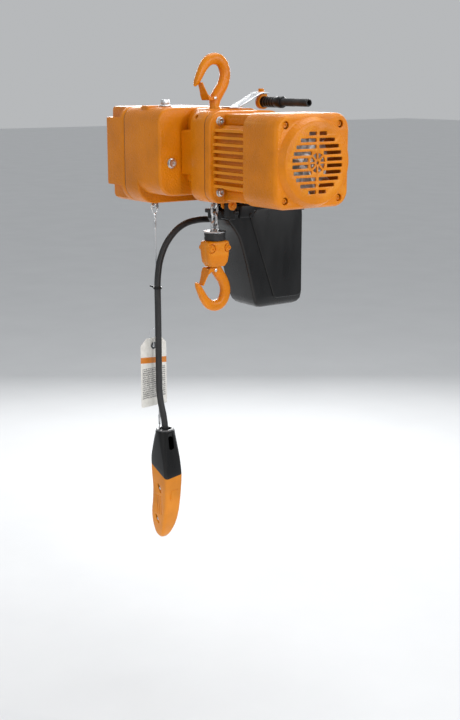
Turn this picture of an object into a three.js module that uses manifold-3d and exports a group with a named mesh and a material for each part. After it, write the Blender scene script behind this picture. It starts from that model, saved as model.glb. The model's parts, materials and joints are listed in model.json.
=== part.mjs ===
// Electric chain hoist, hanging from its top hook, with a chain bucket and a pendant control.
// Millimetres, +Z up. The origin is the saddle inside the top hook's crown; the load chain hangs
// on the Z axis. +X runs along the body to the fan, and -Y is the operator's side.
import * as THREE from 'three';
import { mergeVertices } from 'three/addons/utils/BufferGeometryUtils.js';
import Module from 'manifold-3d';

const wasm = await Module();
wasm.setup();

// ---------------------------------------------------------------- driving dimensions
const GAP = 0.3; // air left between touching pieces

// Load chain, 6.3 x 19.1, and the four-pocket load wheel that drives it.
const LINK_WIRE = 6.3;
const LINK_JOIN = 0.8; // hooked links bite this far into each other, so that a run is one solid
const LINK_SIDES = 4;
const LINK_PITCH = 19.1;
const LINK_WIDTH = 21;
const POCKETS = 4;
const LINK_ANGLE = Math.PI / POCKETS;
const WHEEL_PITCH_R = LINK_PITCH / (2 * Math.sin(LINK_ANGLE / 2));
const FALL_TOP = -190.7; // where the falls hook into the chain round the wheel
const SLACK_Y = 48.7;
const CHAIN_PIN_Z = -396.5;
const FALL_LINKS = 11;
const SLACK_LINKS = 8;

// Motor, load wheel and output gear share one axis along X.
const AXIS_Y = 25;
const AXIS_Z = -194;

// Stations along X.
const X_END = -263;
const X_SEAM = -180.5;
const X_STEP = -124.4;
const X_CASE = -34.6;
const X_NECK = 10.3;
const X_FRAME = 63.3;
const X_FINS = 83.7;
const X_MOTOR = 197.9;
const X_FAN = 308;
const X_RING = 322.4;

// Gear case section: front and back faces, top, and the two bottom levels.
const CASE_FRONT = -122.8;
const CASE_BACK = 122;
const CASE_TOP = -91;
const CASE_LOW = -305.4;
const CASE_HIGH = -282;
const CASE_TOP_R = 30;
const CASE_BOTTOM_R = 46;
const CASE_WALL = 8;
const NOTCH = { depth: 22, height: 24, lowHeight: 38, length: 67 };

const CASE_STEP_R = 38; // bottom corners of the shallow part of the case
const OIL_PLUG = { x: -87, y: -72, headTop: 17, padR: 15, boreR: 8.3, threadR: 7.8, flangeR: 14, hexR: 9.5 };

// Neck, boss and chain chamber of the frame.
const NECK = { front: -48, back: 112, r: 30 };
const BOSS = { front: -66.7, back: 40, low: -235, high: -138, r: 6 };
const CHAMBER = { halfX: 17, halfY: 40, high: 42 };
const SIGHT_HOLE = { x: 33.4, z: -110, r: 5, deep: 20 };
const NUT_ROOM = { low: -153, high: -118, r: 20.5 };

// Square flanges of the frame and motor, and the fan cover.
const FLANGE_HALF = 97;
const FLANGE_R = 30;
const COVER_HALF_Y = 97;
const COVER_UP = 97;
const COVER_DOWN = 93;
const COVER_R = 30;
const COVER_WALL = 4;

// Finned motor housing.
const MOTOR_CORE = { halfY: 76, halfZ: 70, r: 26 };
const MOTOR_BORE_R = 62;
const FIN_REACH = 87;
const FIN_PITCH = 14.6;
const FIN_COUNT = 9;
const FIN_THICK = 6.4;
const BOLT_PAD = { half: 56, reach: 80, thick: 12 };
const ROTOR = { from: 92, to: 168, r: 39.4 };
const STATOR = { from: 87, to: 180, bore: 40.5 };

// Fan grille.
const RING_R = 82;
const RING_BASE_R = 92;
const GRILLE_R = 66;
const SLOT_PITCH = 12.6;
const SLOT_HEIGHT = 6;
const HUB_R = 24;
const GRILLE_ROWS = 5; // slots above the middle, and as many below
const HUB_WINDOWS = { count: 8, near: 7, far: 20, nearHalf: 0.12, farHalf: 0.3 };

// Cooling fan and brake behind the motor.
const FAN = { from: 272, to: 292, hubR: 18, r: 70, blades: 9, bladeHalf: 1.2 };
const BRAKE = { magnet: [12, 36], armature: [37, 42], disc: [43, 52], r: 52, discR: 50 };

// Shafts and gears: two stages on one centre distance.
const SHAFT_R = 9;
const SLEEVE_R = 16;
const CENTRE = 66;
const STAGE_1 = { module: 1.5, pinion: 12, gear: 76, width: 16, x: -100 };
const STAGE_2 = { module: 2, pinion: 14, gear: 52, width: 22, x: -70 };
const LAY_Y = AXIS_Y - CENTRE;
const TOOTH = { addendum: 0.8, dedendum: 1.25, rootShare: 0.28, tipShare: 0.1 };
const WHEEL = { halfX: 15.5, r: 27, grooveHalf: 5, grooveR: 12.2 };

// Hooks: the bottom hook is the top one upside down.
const HOOK_NECK = -84;
const HOOK_SHANK_R = 11;
const LOAD_SADDLE = -518.5;
const LATCH_PIVOT = { y: -8, z: -71 };
const LATCH = { length: 42, half: 14.5, bend: 12.3, out: -16, in: -13.7, lean: 22, tongueHalf: 8 };
// Side of the latch, from the front sheet to the eye on the pin, in the latch's own (y, z).
const LATCH_EAR = [[LATCH.out, 1.5], [-1, -5], [5, 0], [3.6, 4], [-11, 33], [LATCH.out, 35]];
const LATCH_PIN = { half: 16.5, r: 2.1, bore: 2.4, eye: 2.6 };
const TOP_NUT = { low: -147, high: -119, r: 19 };
const LOAD_NUT = { low: -428, high: -412.5, r: 15 };
const TOP_SHANK_END = -148;
const LOAD_SHANK_END = -412;

// Hook block under the load chain.
const BLOCK_TOP = -382;
const BLOCK_BOTTOM = -440;
const BLOCK_HALF_X = 20;
const BLOCK_HALF_Y = 31;
const CUSHION_R = 23.5;
const CUSHION_PLATE = { low: -364, high: -361, bore: 12 };
const BLOCK_BOLT = { y: 24, z: -398, bossR: 6.5, bossOut: 20.5, bossIn: 12, boreR: 3.3 };
const BLOCK_ROOM = { low: -434, high: -386, r: 16.5, chainR: 12, shankR: 14, shankTop: -431 };

// Chain bucket: front wall position at each level, the other walls nearly upright.
const BUCKET_TOP = -318;
const BUCKET_WALL = 3.2;
const EAR_X = [20, 48];
const EAR_THICK = 5;
const EAR_Y = 12;
const EAR_Z = -301;
const PIN_BORE_R = 4.3;
const BUCKET_PIN_R = 4;
const HEAP = { x: -22, y: 152, z: -525, r: 26, links: 5 };
const BUCKET_LEVELS = [
  { z: BUCKET_TOP, front: 16, back: 231, left: -57, right: 30, r: 16 },
  { z: -340, front: 18, back: 231, left: -58, right: 30, r: 18 },
  { z: -374, front: 46, back: 231, left: -66, right: 30, r: 20 },
  { z: -440, front: 69, back: 231, left: -75, right: 30, r: 20 },
  { z: -521, front: 90, back: 231, left: -73, right: 29, r: 20 },
  { z: -545, front: 106, back: 219, left: -62, right: 18, r: 16 },
];

// Strain wire, pendant cable and pendant.
const WIRE_R = 1.5;
const WIRE_TOP = [-136, -72, -314];
const WIRE_JOIN = [-135.5, -72, -336];
const WIRE_END = [-123.5, -75, -848];
const CABLE_R = 7.5;
const ELBOW = { x: -106, y: 98, z: -349, r: 11, flangeR: 17, nutR: 13 };
const TIE = { x: -117.5, y: -79, low: -501.5, high: -496 };
const CABLE_ARC = [
  [-106, 74.4, -349], [-106.5, 60, -349], [-109, 40, -348.5], [-111, 20, -350], [-113.5, 0, -354.5],
  [-117, -18, -364], [-120, -34, -378], [-122, -50, -398], [-122, -62, -420], [-121, -71, -444],
  [-118.3, -77, -470], [-117.6, -79, -490], [-117.5, -79, -500],
];
const CABLE_DROP = [
  [-117.5, -79, -500.3], [-117, -79, -560], [-117, -79, -640], [-117, -79, -710], [-116, -79, -745],
  [-111, -78, -775], [-104, -76, -803], [-100, -75, -830], [-99.5, -75, -850],
];
const PENDANT_Y = -75;
const PENDANT_WALL = 3;
const CAP_TOP = -836;
const CABLE_MOUTH = { x: -99.5, r: 13.5, outerR: 21.5 };
const WIRE_MOUTH = { x: -122.6, r: 4 };
const PENDANT_LEVELS = [
  { z: CAP_TOP, x: -99.5, w: 45, d: 43, r: 21 },
  { z: -866, x: -100, w: 54, d: 46, r: 20 },
  { z: -905, x: -99, w: 63, d: 48, r: 17 },
  { z: -942, x: -95, w: 66, d: 48, r: 15 },
  { z: -975, x: -94.5, w: 63, d: 45, r: 14 },
  { z: -1010, x: -98, w: 62, d: 43, r: 14 },
  { z: -1045, x: -105, w: 61, d: 41, r: 14 },
  { z: -1072, x: -110, w: 52, d: 36, r: 15 },
  { z: -1096, x: -115, w: 34, d: 26, r: 12 },
  { z: -1110, x: -118, w: 12, d: 10, r: 4 },
];
const CAP_SPLIT = { x: -95, z: -930, slopeX: -0.42, slopeY: 0.15 };
const BUTTON = { x: -98, half: 11, clear: 0.6, low: -1015, high: -980 };

// Power inlet on its arm above the back edge.
const INLET_Y = 126;
const INLET_Z = -80;
const ARM_PROFILE = [
  [24, -92.7], [50, -92.7], [112, -62], [134, -62],
  [134, -58.5], [111, -58.5], [49, -89.2], [24, -89.2],
];
const ARM_X = [-9, 24];
const CLAMP = { from: 2, to: 14, r: 16, bore: 12.3, boltX: 8, boltY: INLET_Y - 4 };
const INLET_GLAND = { from: -2, collar: 70, to: 82, r: 12, nutR: 12.8, bore: 9 };
const INLET_SLEEVE = { from: 60, to: 171, r: 8.6, bore: 5.5 };

// Tag hanging on the strain wire.
const TAG = { x: -140, y: -78.5, eye: -639, top: -620, bottom: -785, halfWidth: 39, turn: 7.4 };
const TAG_CUT = { x: 18, z: 16 };
const TAG_HOLE_R = 6.3;
const EYELET = { face: [0.8, 1.6], barrel: [-1.6, 1.2], r: 8.6, barrelR: 5.8, bore: 3.8 };
const TAG_LOOP_R = 0.8;
const TAG_LOOP = [
  [-139.5, -78.5, -640.5], [-134.5, -81.5, -632], [-128, -82, -614], [-126.3, -76, -601],
  [-128.5, -69, -596.5], [-136, -70, -595], [-142.5, -80, -600], [-145, -86, -612], [-145, -83, -628],
];

// ---------------------------------------------------------------- materials
const paint = { color: 0xd87f14, roughness: 0.45, metalness: 0.1 };
const blackPlastic = { color: 0x17181a, roughness: 0.5, metalness: 0 };
const blackRubber = { color: 0x1b1b1b, roughness: 0.8, metalness: 0 };
const zinc = { color: 0xb9bdc0, roughness: 0.35, metalness: 1 };
const steel = { color: 0x8f9396, roughness: 0.3, metalness: 1 };
const castAlloy = { color: 0xa9acae, roughness: 0.5, metalness: 0.9 };
const copper = { color: 0xb5652f, roughness: 0.4, metalness: 0.9 };
const card = { color: 0xeeebe2, roughness: 0.8, metalness: 0 };
const boardGreen = { color: 0x1f5a35, roughness: 0.6, metalness: 0 };

// ---------------------------------------------------------------- solid helpers
function solid(geometry) {
  const bare = geometry.clone();
  bare.deleteAttribute('normal');
  bare.deleteAttribute('uv');
  const merged = mergeVertices(bare, 1e-4);
  const position = merged.attributes.position;
  const triVerts = new Uint32Array(merged.index.array);
  let volume = 0;
  const [a, b, c] = [new THREE.Vector3(), new THREE.Vector3(), new THREE.Vector3()];
  for (let i = 0; i < triVerts.length; i += 3) {
    a.fromBufferAttribute(position, triVerts[i]);
    b.fromBufferAttribute(position, triVerts[i + 1]);
    c.fromBufferAttribute(position, triVerts[i + 2]);
    volume += a.dot(b.cross(c));
  }
  if (volume < 0) {
    for (let i = 0; i < triVerts.length; i += 3) {
      [triVerts[i], triVerts[i + 1]] = [triVerts[i + 1], triVerts[i]];
    }
  }
  const vertProperties = new Float32Array(position.array);
  return new wasm.Manifold(new wasm.Mesh({ numProp: 3, vertProperties, triVerts }));
}

function add(...solids) {
  return solids.reduce((sum, next) => sum.add(next));
}

function piece(name, shape, look) {
  const mesh = shape.getMesh();
  const geometry = new THREE.BufferGeometry();
  geometry.setAttribute('position', new THREE.BufferAttribute(mesh.vertProperties, mesh.numProp));
  geometry.setIndex(new THREE.BufferAttribute(mesh.triVerts, 1));
  geometry.computeVertexNormals();
  const result = new THREE.Mesh(geometry, new THREE.MeshStandardMaterial(look));
  result.name = name;
  return result;
}

function box(x0, x1, y0, y1, z0, z1) {
  const geometry = new THREE.BoxGeometry(x1 - x0, y1 - y0, z1 - z0);
  return solid(geometry.translate((x0 + x1) / 2, (y0 + y1) / 2, (z0 + z1) / 2));
}

// Turns a geometry built along its own Z into one along the named axis.
const ALONG = {
  x: new THREE.Matrix4().makeBasis(
    new THREE.Vector3(0, 1, 0), new THREE.Vector3(0, 0, 1), new THREE.Vector3(1, 0, 0)),
  y: new THREE.Matrix4().makeBasis(
    new THREE.Vector3(0, 0, 1), new THREE.Vector3(1, 0, 0), new THREE.Vector3(0, 1, 0)),
  z: new THREE.Matrix4(),
};

// Round bar along an axis between two stations, centred on (p, q) in the other two axes.
function bar(axis, from, to, radius, p, q, sides = 18, endRadius = radius) {
  const geometry = new THREE.CylinderGeometry(endRadius, radius, to - from, sides);
  geometry.rotateX(Math.PI / 2).translate(0, 0, (from + to) / 2).applyMatrix4(ALONG[axis]);
  const centre = { x: [0, p, q], y: [p, 0, q], z: [p, q, 0] }[axis];
  return solid(geometry.translate(...centre));
}

function ring(axis, from, to, outer, inner, p, q, sides = 18) {
  const bore = bar(axis, from - 1, to + 1, inner, p, q, Math.max(sides, 18));
  return bar(axis, from, to, outer, p, q, sides).subtract(bore);
}

// Outline with its own radius at each corner, listed anticlockwise from the low-left corner.
function roundedShape(u0, u1, v0, v1, radii) {
  const [a, b, c, d] = radii;
  const shape = new THREE.Shape();
  shape.moveTo(u0 + a, v0);
  shape.lineTo(u1 - b, v0);
  shape.absarc(u1 - b, v0 + b, b, -Math.PI / 2, 0);
  shape.lineTo(u1, v1 - c);
  shape.absarc(u1 - c, v1 - c, c, 0, Math.PI / 2);
  shape.lineTo(u0 + d, v1);
  shape.absarc(u0 + d, v1 - d, d, Math.PI / 2, Math.PI);
  shape.lineTo(u0, v0 + a);
  shape.absarc(u0 + a, v0 + a, a, Math.PI, Math.PI * 1.5);
  return shape;
}

// Extrudes a YZ outline along X, an XY outline along Z or a ZX outline along Y.
function extrude(axis, shape, from, to, bevel = 0, curveSegments = 5) {
  const geometry = new THREE.ExtrudeGeometry(shape, {
    depth: to - from - 2 * bevel,
    curveSegments,
    bevelEnabled: bevel > 0,
    bevelThickness: bevel,
    bevelSize: bevel,
    bevelOffset: -bevel,
    bevelSegments: 1,
  });
  return solid(geometry.translate(0, 0, from + bevel).applyMatrix4(ALONG[axis]));
}

function outline(points) {
  return new THREE.Shape(points.map(([u, v]) => new THREE.Vector2(u, v)));
}

// Skins a row of equal-sized closed rings. A closed row has no ends; an open one is capped.
function loft(rings, closed = false) {
  const count = rings[0].length;
  const positions = rings.flat().flatMap((point) => point.toArray());
  const index = [];
  for (let i = 0; i < rings.length - (closed ? 0 : 1); i += 1) {
    const next = (i + 1) % rings.length;
    for (let j = 0; j < count; j += 1) {
      const k = (j + 1) % count;
      const [a, b, c, d] = [i * count + j, i * count + k, next * count + k, next * count + j];
      index.push(a, b, c, a, c, d);
    }
  }
  const ends = closed ? [] : [[0, true], [rings.length - 1, false]];
  for (const [row, flip] of ends) {
    const centre = new THREE.Vector3();
    for (const point of rings[row]) centre.add(point);
    const middle = positions.length / 3;
    positions.push(...centre.divideScalar(count).toArray());
    for (let j = 0; j < count; j += 1) {
      const [a, b] = [row * count + j, row * count + ((j + 1) % count)];
      index.push(...(flip ? [b, a, middle] : [a, b, middle]));
    }
  }
  const geometry = new THREE.BufferGeometry();
  geometry.setAttribute('position', new THREE.Float32BufferAttribute(positions, 3));
  geometry.setIndex(index);
  return solid(geometry);
}

// Horizontal rounded-rectangle ring for a loft.
function levelRing(x0, x1, y0, y1, r, z, perCorner = 4) {
  const points = [];
  const corners = [[x1 - r, y1 - r], [x0 + r, y1 - r], [x0 + r, y0 + r], [x1 - r, y0 + r]];
  corners.forEach(([cx, cy], corner) => {
    for (let i = 0; i <= perCorner; i += 1) {
      const angle = (corner + i / perCorner) * (Math.PI / 2);
      points.push(new THREE.Vector3(cx + r * Math.cos(angle), cy + r * Math.sin(angle), z));
    }
  });
  return points;
}

function circleShape(radius, sides) {
  const points = [];
  for (let i = 0; i < sides; i += 1) {
    const angle = (i / sides) * 2 * Math.PI;
    points.push(new THREE.Vector2(radius * Math.cos(angle), radius * Math.sin(angle)));
  }
  return new THREE.Shape(points);
}

function tube(points, radius, steps, sides = 8, closed = false) {
  const places = points.map((p) => new THREE.Vector3(...p));
  const path = new THREE.CatmullRomCurve3(places, closed, 'centripetal');
  return solid(new THREE.ExtrudeGeometry(circleShape(radius, sides), { steps, extrudePath: path }));
}

// ---------------------------------------------------------------- body castings
function caseOutline(bottom, inset, bottomR = CASE_BOTTOM_R) {
  const corner = (r) => Math.max(r - inset, 4);
  return roundedShape(CASE_FRONT + inset, CASE_BACK - inset, bottom + inset, CASE_TOP - inset,
    [corner(bottomR), corner(CASE_TOP_R), corner(CASE_TOP_R), corner(CASE_TOP_R)]);
}

function endCover() {
  const seam = X_SEAM - GAP;
  let body = extrude('x', caseOutline(CASE_LOW, 0), X_END, seam, 6);
  const room = caseOutline(CASE_LOW, CASE_WALL + NOTCH.depth);
  body = body.subtract(extrude('x', room, X_END + CASE_WALL, seam + 10));
  const [x0, x1] = [X_END - 5, X_END + NOTCH.length];
  const [y0, y1] = [CASE_FRONT - 5, CASE_FRONT + NOTCH.depth];
  const upper = box(x0, x1, y0, y1, CASE_TOP - NOTCH.height, CASE_TOP + 5);
  const lower = box(x0, x1, y0, y1, CASE_LOW - 5, CASE_LOW + NOTCH.lowHeight);
  return body.subtract(add(upper, lower));
}

function gearCase() {
  const wallX = X_CASE - CASE_WALL;
  const low = extrude('x', caseOutline(CASE_LOW, 0), X_SEAM, X_STEP, 2);
  const high = extrude('x', caseOutline(CASE_HIGH, 0, CASE_STEP_R), X_STEP - 20, X_CASE, 3);
  let body = low.add(high);
  body = body.subtract(extrude('x', caseOutline(CASE_LOW, CASE_WALL), X_SEAM - 10, X_STEP - CASE_WALL));
  body = body.subtract(extrude('x', caseOutline(CASE_HIGH, CASE_WALL, CASE_STEP_R), X_STEP - 30, wallX));
  body = body.subtract(bar('x', wallX - 5, X_CASE + 5, SLEEVE_R + 2, AXIS_Y, AXIS_Z));
  const { x, y, padR, boreR } = OIL_PLUG;
  const pad = bar('z', CASE_TOP - 3, CASE_TOP + 1.5, padR, x, y);
  return body.add(pad).subtract(bar('z', CASE_TOP - 20, CASE_TOP + 10, boreR, x, y));
}

function gearPlate() {
  const plate = extrude('x', caseOutline(CASE_LOW, CASE_WALL + 1), X_SEAM + 4, X_SEAM + 12);
  const bores = [AXIS_Y, LAY_Y].map((y) => bar('x', X_SEAM, X_SEAM + 20, SHAFT_R, y, AXIS_Z, 20));
  return plate.subtract(add(...bores));
}

function flangeOutline(half, inset = 0) {
  const h = half - inset;
  const r = FLANGE_R - inset;
  return roundedShape(AXIS_Y - h, AXIS_Y + h, AXIS_Z - h, AXIS_Z + h, [r, r, r, r]);
}

function frameCasting() {
  const start = X_CASE + GAP;
  const top = AXIS_Z + FLANGE_HALF + 4;
  const square = (r) => [r, r, r, r];
  const neckShape = roundedShape(NECK.front, NECK.back, CASE_HIGH + 2, top, square(NECK.r));
  const bossShape = roundedShape(BOSS.front, BOSS.back, BOSS.low, BOSS.high, square(BOSS.r));
  const neck = extrude('x', neckShape, start, X_NECK + 10);
  const boss = extrude('x', bossShape, start, X_NECK + 10, 2);
  const flange = extrude('x', flangeOutline(FLANGE_HALF), X_NECK, X_FRAME, 2);
  let body = add(neck, boss, flange);
  for (const x of EAR_X) {
    body = body.add(bar('x', x, x + EAR_THICK, 10.5, EAR_Y, EAR_Z, 20));
    body = body.add(box(x, x + EAR_THICK, EAR_Y - 9, EAR_Y + 9, EAR_Z, EAR_Z + 20));
  }
  // Wheel chamber, open below for both falls of chain, and the bores along the motor axis.
  const { halfX, halfY, high } = CHAMBER;
  body = body.subtract(box(-halfX, halfX, AXIS_Y - halfY, AXIS_Y + halfY, -320, AXIS_Z + high));
  body = body.subtract(bar('x', start - 5, 40, 26.3, AXIS_Y, AXIS_Z, 32));
  body = body.subtract(bar('x', 30, X_FRAME + 5, SHAFT_R + 4, AXIS_Y, AXIS_Z));
  // Seat of the top hook: a clear bore, and room for the nut above the wheel chamber.
  body = body.subtract(bar('z', NUT_ROOM.high, top + 5, HOOK_SHANK_R + 4.3, 0, 0));
  body = body.subtract(bar('z', NUT_ROOM.low, NUT_ROOM.high, NUT_ROOM.r, 0, 0));
  // Round sight hole in the flange, pin holes in the bucket ears.
  const face = AXIS_Y - FLANGE_HALF;
  const { x, z, r, deep } = SIGHT_HOLE;
  body = body.subtract(bar('y', face - 5, face + deep, r, x, z, 16));
  return body.subtract(bar('x', 10, 60, PIN_BORE_R, EAR_Y, EAR_Z, 16));
}

function motorHousing() {
  const start = X_FRAME + GAP;
  const flange = extrude('x', flangeOutline(FLANGE_HALF), start, X_FINS, 2);
  const { halfY, halfZ, r } = MOTOR_CORE;
  const core = roundedShape(AXIS_Y - halfY, AXIS_Y + halfY, AXIS_Z - halfZ, AXIS_Z + halfZ, [r, r, r, r]);
  let body = flange.add(extrude('x', core, X_FINS - 5, X_MOTOR));
  const middle = (FIN_COUNT - 1) / 2;
  for (let i = 0; i < FIN_COUNT; i += 1) {
    const low = AXIS_Z + (i - middle) * FIN_PITCH - FIN_THICK / 2;
    const [y0, y1] = [AXIS_Y - FIN_REACH, AXIS_Y + FIN_REACH];
    body = body.add(box(X_FINS - 5, X_MOTOR, y0, y1, low, low + FIN_THICK));
  }
  for (const side of [-1, 1]) {
    const z = AXIS_Z + side * BOLT_PAD.reach;
    const [y0, y1] = [AXIS_Y - BOLT_PAD.half, AXIS_Y + BOLT_PAD.half];
    body = body.add(box(X_FINS - 5, X_MOTOR, y0, y1, z - BOLT_PAD.thick, z + BOLT_PAD.thick));
  }
  body = body.subtract(bar('x', X_FINS - 8, X_MOTOR + 5, MOTOR_BORE_R, AXIS_Y, AXIS_Z, 36));
  return body.subtract(bar('x', start - 5, X_MOTOR, 20.3, AXIS_Y, AXIS_Z));
}

function coverOutline(inset) {
  const [half, r] = [COVER_HALF_Y - inset, COVER_R - inset];
  const [low, high] = [AXIS_Z - COVER_DOWN + inset, AXIS_Z + COVER_UP - inset];
  return roundedShape(AXIS_Y - half, AXIS_Y + half, low, high, [r, r, r, r]);
}

function fanCover() {
  const start = X_MOTOR + GAP;
  let body = extrude('x', coverOutline(0), start, X_FAN, 8);
  body = body.add(bar('x', X_FAN - 3, X_RING, RING_BASE_R, AXIS_Y, AXIS_Z, 40, RING_R));
  body = body.subtract(extrude('x', coverOutline(COVER_WALL), start - 10, X_FAN - COVER_WALL, 4));
  body = body.subtract(bar('x', X_FAN - 20, X_RING - COVER_WALL, RING_R - 8, AXIS_Y, AXIS_Z, 40));
  return body.subtract(grilleOpenings());
}

// Slots each side of the middle, outside a hub that has spokes of its own.
function grilleOpenings() {
  const [x0, x1] = [X_RING - 10, X_RING + 5];
  const rows = [];
  for (const side of [-1, 1]) {
    for (let i = 0; i < GRILLE_ROWS; i += 1) {
      const low = AXIS_Z + side * (i + 0.5) * SLOT_PITCH - SLOT_HEIGHT / 2;
      for (const [near, far] of [[-GRILLE_R - 5, -4], [4, GRILLE_R + 5]]) {
        rows.push(box(x0, x1, AXIS_Y + near, AXIS_Y + far, low, low + SLOT_HEIGHT));
      }
    }
  }
  const slots = add(...rows)
    .intersect(bar('x', x0, x1, GRILLE_R, AXIS_Y, AXIS_Z, 40))
    .subtract(bar('x', x0 - 1, x1 + 1, HUB_R, AXIS_Y, AXIS_Z));
  const { count, near, far, nearHalf, farHalf } = HUB_WINDOWS;
  const windows = [];
  for (let i = 0; i < count; i += 1) {
    const turn = ((i + 0.5) / count) * 2 * Math.PI;
    const corners = [[near, -nearHalf], [far, -farHalf], [far, farHalf], [near, nearHalf]];
    const points = corners.map(([r, a]) => [
      AXIS_Y + r * Math.cos(turn + a), AXIS_Z + r * Math.sin(turn + a)]);
    windows.push(extrude('x', outline(points), x0, x1));
  }
  return add(slots, ...windows);
}

// ---------------------------------------------------------------- drive train
function gearShape(module, teeth, phase) {
  const pitchR = (module * teeth) / 2;
  const [tip, root] = [pitchR + TOOTH.addendum * module, pitchR - TOOTH.dedendum * module];
  const { rootShare, tipShare } = TOOTH;
  const step = (2 * Math.PI) / teeth;
  const points = [];
  for (let i = 0; i < teeth; i += 1) {
    const corners = [[root, -rootShare], [tip, -tipShare], [tip, tipShare], [root, rootShare]];
    for (const [r, share] of corners) {
      const angle = phase + (i + share) * step;
      points.push([r * Math.cos(angle), r * Math.sin(angle)]);
    }
  }
  return outline(points);
}

function gear(stage, teeth, y, phase, width) {
  const [x0, x1] = [stage.x - width / 2, stage.x + width / 2];
  const blank = extrude('x', gearShape(stage.module, teeth, phase), x0, x1);
  return blank.translate([0, y, AXIS_Z]);
}

// A pinion has a tooth on the centre line and its wheel a gap there.
function motorShaft() {
  const shaft = bar('x', X_SEAM + 5, X_RING - 34, SHAFT_R - 1.5, AXIS_Y, AXIS_Z, 20);
  const journal = bar('x', X_FRAME + 2, X_MOTOR + 60, SHAFT_R, AXIS_Y, AXIS_Z, 20);
  const rotor = bar('x', ROTOR.from, ROTOR.to, ROTOR.r, AXIS_Y, AXIS_Z, 36);
  const pinion = gear(STAGE_1, STAGE_1.pinion, AXIS_Y, Math.PI, STAGE_1.width + 2);
  return add(shaft, journal, rotor, pinion);
}

function layshaft() {
  const shaft = bar('x', X_SEAM + 5, X_CASE - CASE_WALL - 1, 8, LAY_Y, AXIS_Z, 20);
  const wheel = gear(STAGE_1, STAGE_1.gear, LAY_Y, Math.PI / STAGE_1.gear, STAGE_1.width);
  return add(shaft, wheel, gear(STAGE_2, STAGE_2.pinion, LAY_Y, 0, STAGE_2.width + 2));
}

function outputGear() {
  const phase = Math.PI + Math.PI / STAGE_2.gear;
  const blank = gear(STAGE_2, STAGE_2.gear, AXIS_Y, phase, STAGE_2.width);
  return blank.subtract(bar('x', -150, -50, SLEEVE_R + GAP, AXIS_Y, AXIS_Z, 28));
}

function stator() {
  return ring('x', STATOR.from, STATOR.to, MOTOR_BORE_R - GAP, STATOR.bore, AXIS_Y, AXIS_Z, 24);
}

function endShield() {
  return ring('x', X_MOTOR - 10, X_MOTOR - 1, MOTOR_BORE_R - GAP, 17.3, AXIS_Y, AXIS_Z, 24);
}

// Circuit board with its contactor, upright in the end cover.
function controlUnit() {
  return box(-226, -223, -70, 85, -270, -130).add(box(-224, -196, -40, 50, -230, -150));
}

function bearing(x0, x1, outer, inner) {
  return ring('x', x0, x1, outer, inner, AXIS_Y, AXIS_Z, 24);
}

function fan() {
  const { from, to, hubR, r, bladeHalf } = FAN;
  const hub = ring('x', from - 6, to - 4, hubR, SHAFT_R + GAP, AXIS_Y, AXIS_Z, 20);
  const disc = ring('x', from - 6, from - 3, r, SHAFT_R + 5, AXIS_Y, AXIS_Z, 24);
  const blades = [];
  for (let i = 0; i < FAN.blades; i += 1) {
    const blade = box(from - 5, to, -bladeHalf, bladeHalf, hubR - 2, r - 1);
    blades.push(blade.rotate([(i * 360) / FAN.blades, 0, 0]).translate([0, AXIS_Y, AXIS_Z]));
  }
  return add(hub, disc, ...blades);
}

// Ring of the brake, placed from the end of the motor housing.
function brakeRing([from, to], outer, inner) {
  return ring('x', X_MOTOR + from, X_MOTOR + to, outer, inner, AXIS_Y, AXIS_Z, 20);
}

// ---------------------------------------------------------------- load chain
// One link in its own frame: length along Z, width along X.
function link() {
  const r = (LINK_WIDTH - LINK_WIRE) / 2;
  const straight = (LINK_PITCH - LINK_JOIN + LINK_WIRE) / 2 - r;
  const path = [];
  for (const [zMid, from] of [[straight, 0], [-straight, Math.PI]]) {
    for (let i = 0; i <= 3; i += 1) {
      const angle = from + (i / 3) * Math.PI;
      const out = new THREE.Vector3(Math.cos(angle), 0, Math.sin(angle));
      path.push({ out, at: out.clone().multiplyScalar(r).add(new THREE.Vector3(0, 0, zMid)) });
    }
  }
  const rings = path.map(({ out, at }) => {
    const points = [];
    for (let i = 0; i < LINK_SIDES; i += 1) {
      const angle = (i / LINK_SIDES) * 2 * Math.PI;
      const point = at.clone().addScaledVector(out, (LINK_WIRE / 2) * Math.cos(angle));
      points.push(point.add(new THREE.Vector3(0, (LINK_WIRE / 2) * Math.sin(angle), 0)));
    }
    return points;
  });
  return loft(rings, true);
}

function straightChain(y, top, count, firstUpright) {
  const links = [];
  for (let i = 0; i < count; i += 1) {
    const upright = (i % 2 === 0) === firstUpright;
    const turned = link().rotate([0, 0, upright ? 90 : 0]);
    links.push(turned.translate([0, y, top - (i + 0.5) * LINK_PITCH]));
  }
  return add(...links);
}

function chainWrap() {
  const radius = WHEEL_PITCH_R * Math.cos(LINK_ANGLE / 2);
  const links = [];
  for (let i = 0; i < POCKETS; i += 1) {
    const angle = (i + 0.5) * LINK_ANGLE;
    const upright = i % 2 === 0;
    const lean = THREE.MathUtils.radToDeg(angle);
    const turned = link().rotate([0, 0, upright ? 90 : 0]).rotate([lean, 0, 0]);
    const [y, z] = [AXIS_Y + radius * Math.cos(angle), AXIS_Z + radius * Math.sin(angle)];
    links.push(turned.translate([0, y, z]));
  }
  return add(...links);
}

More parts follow.
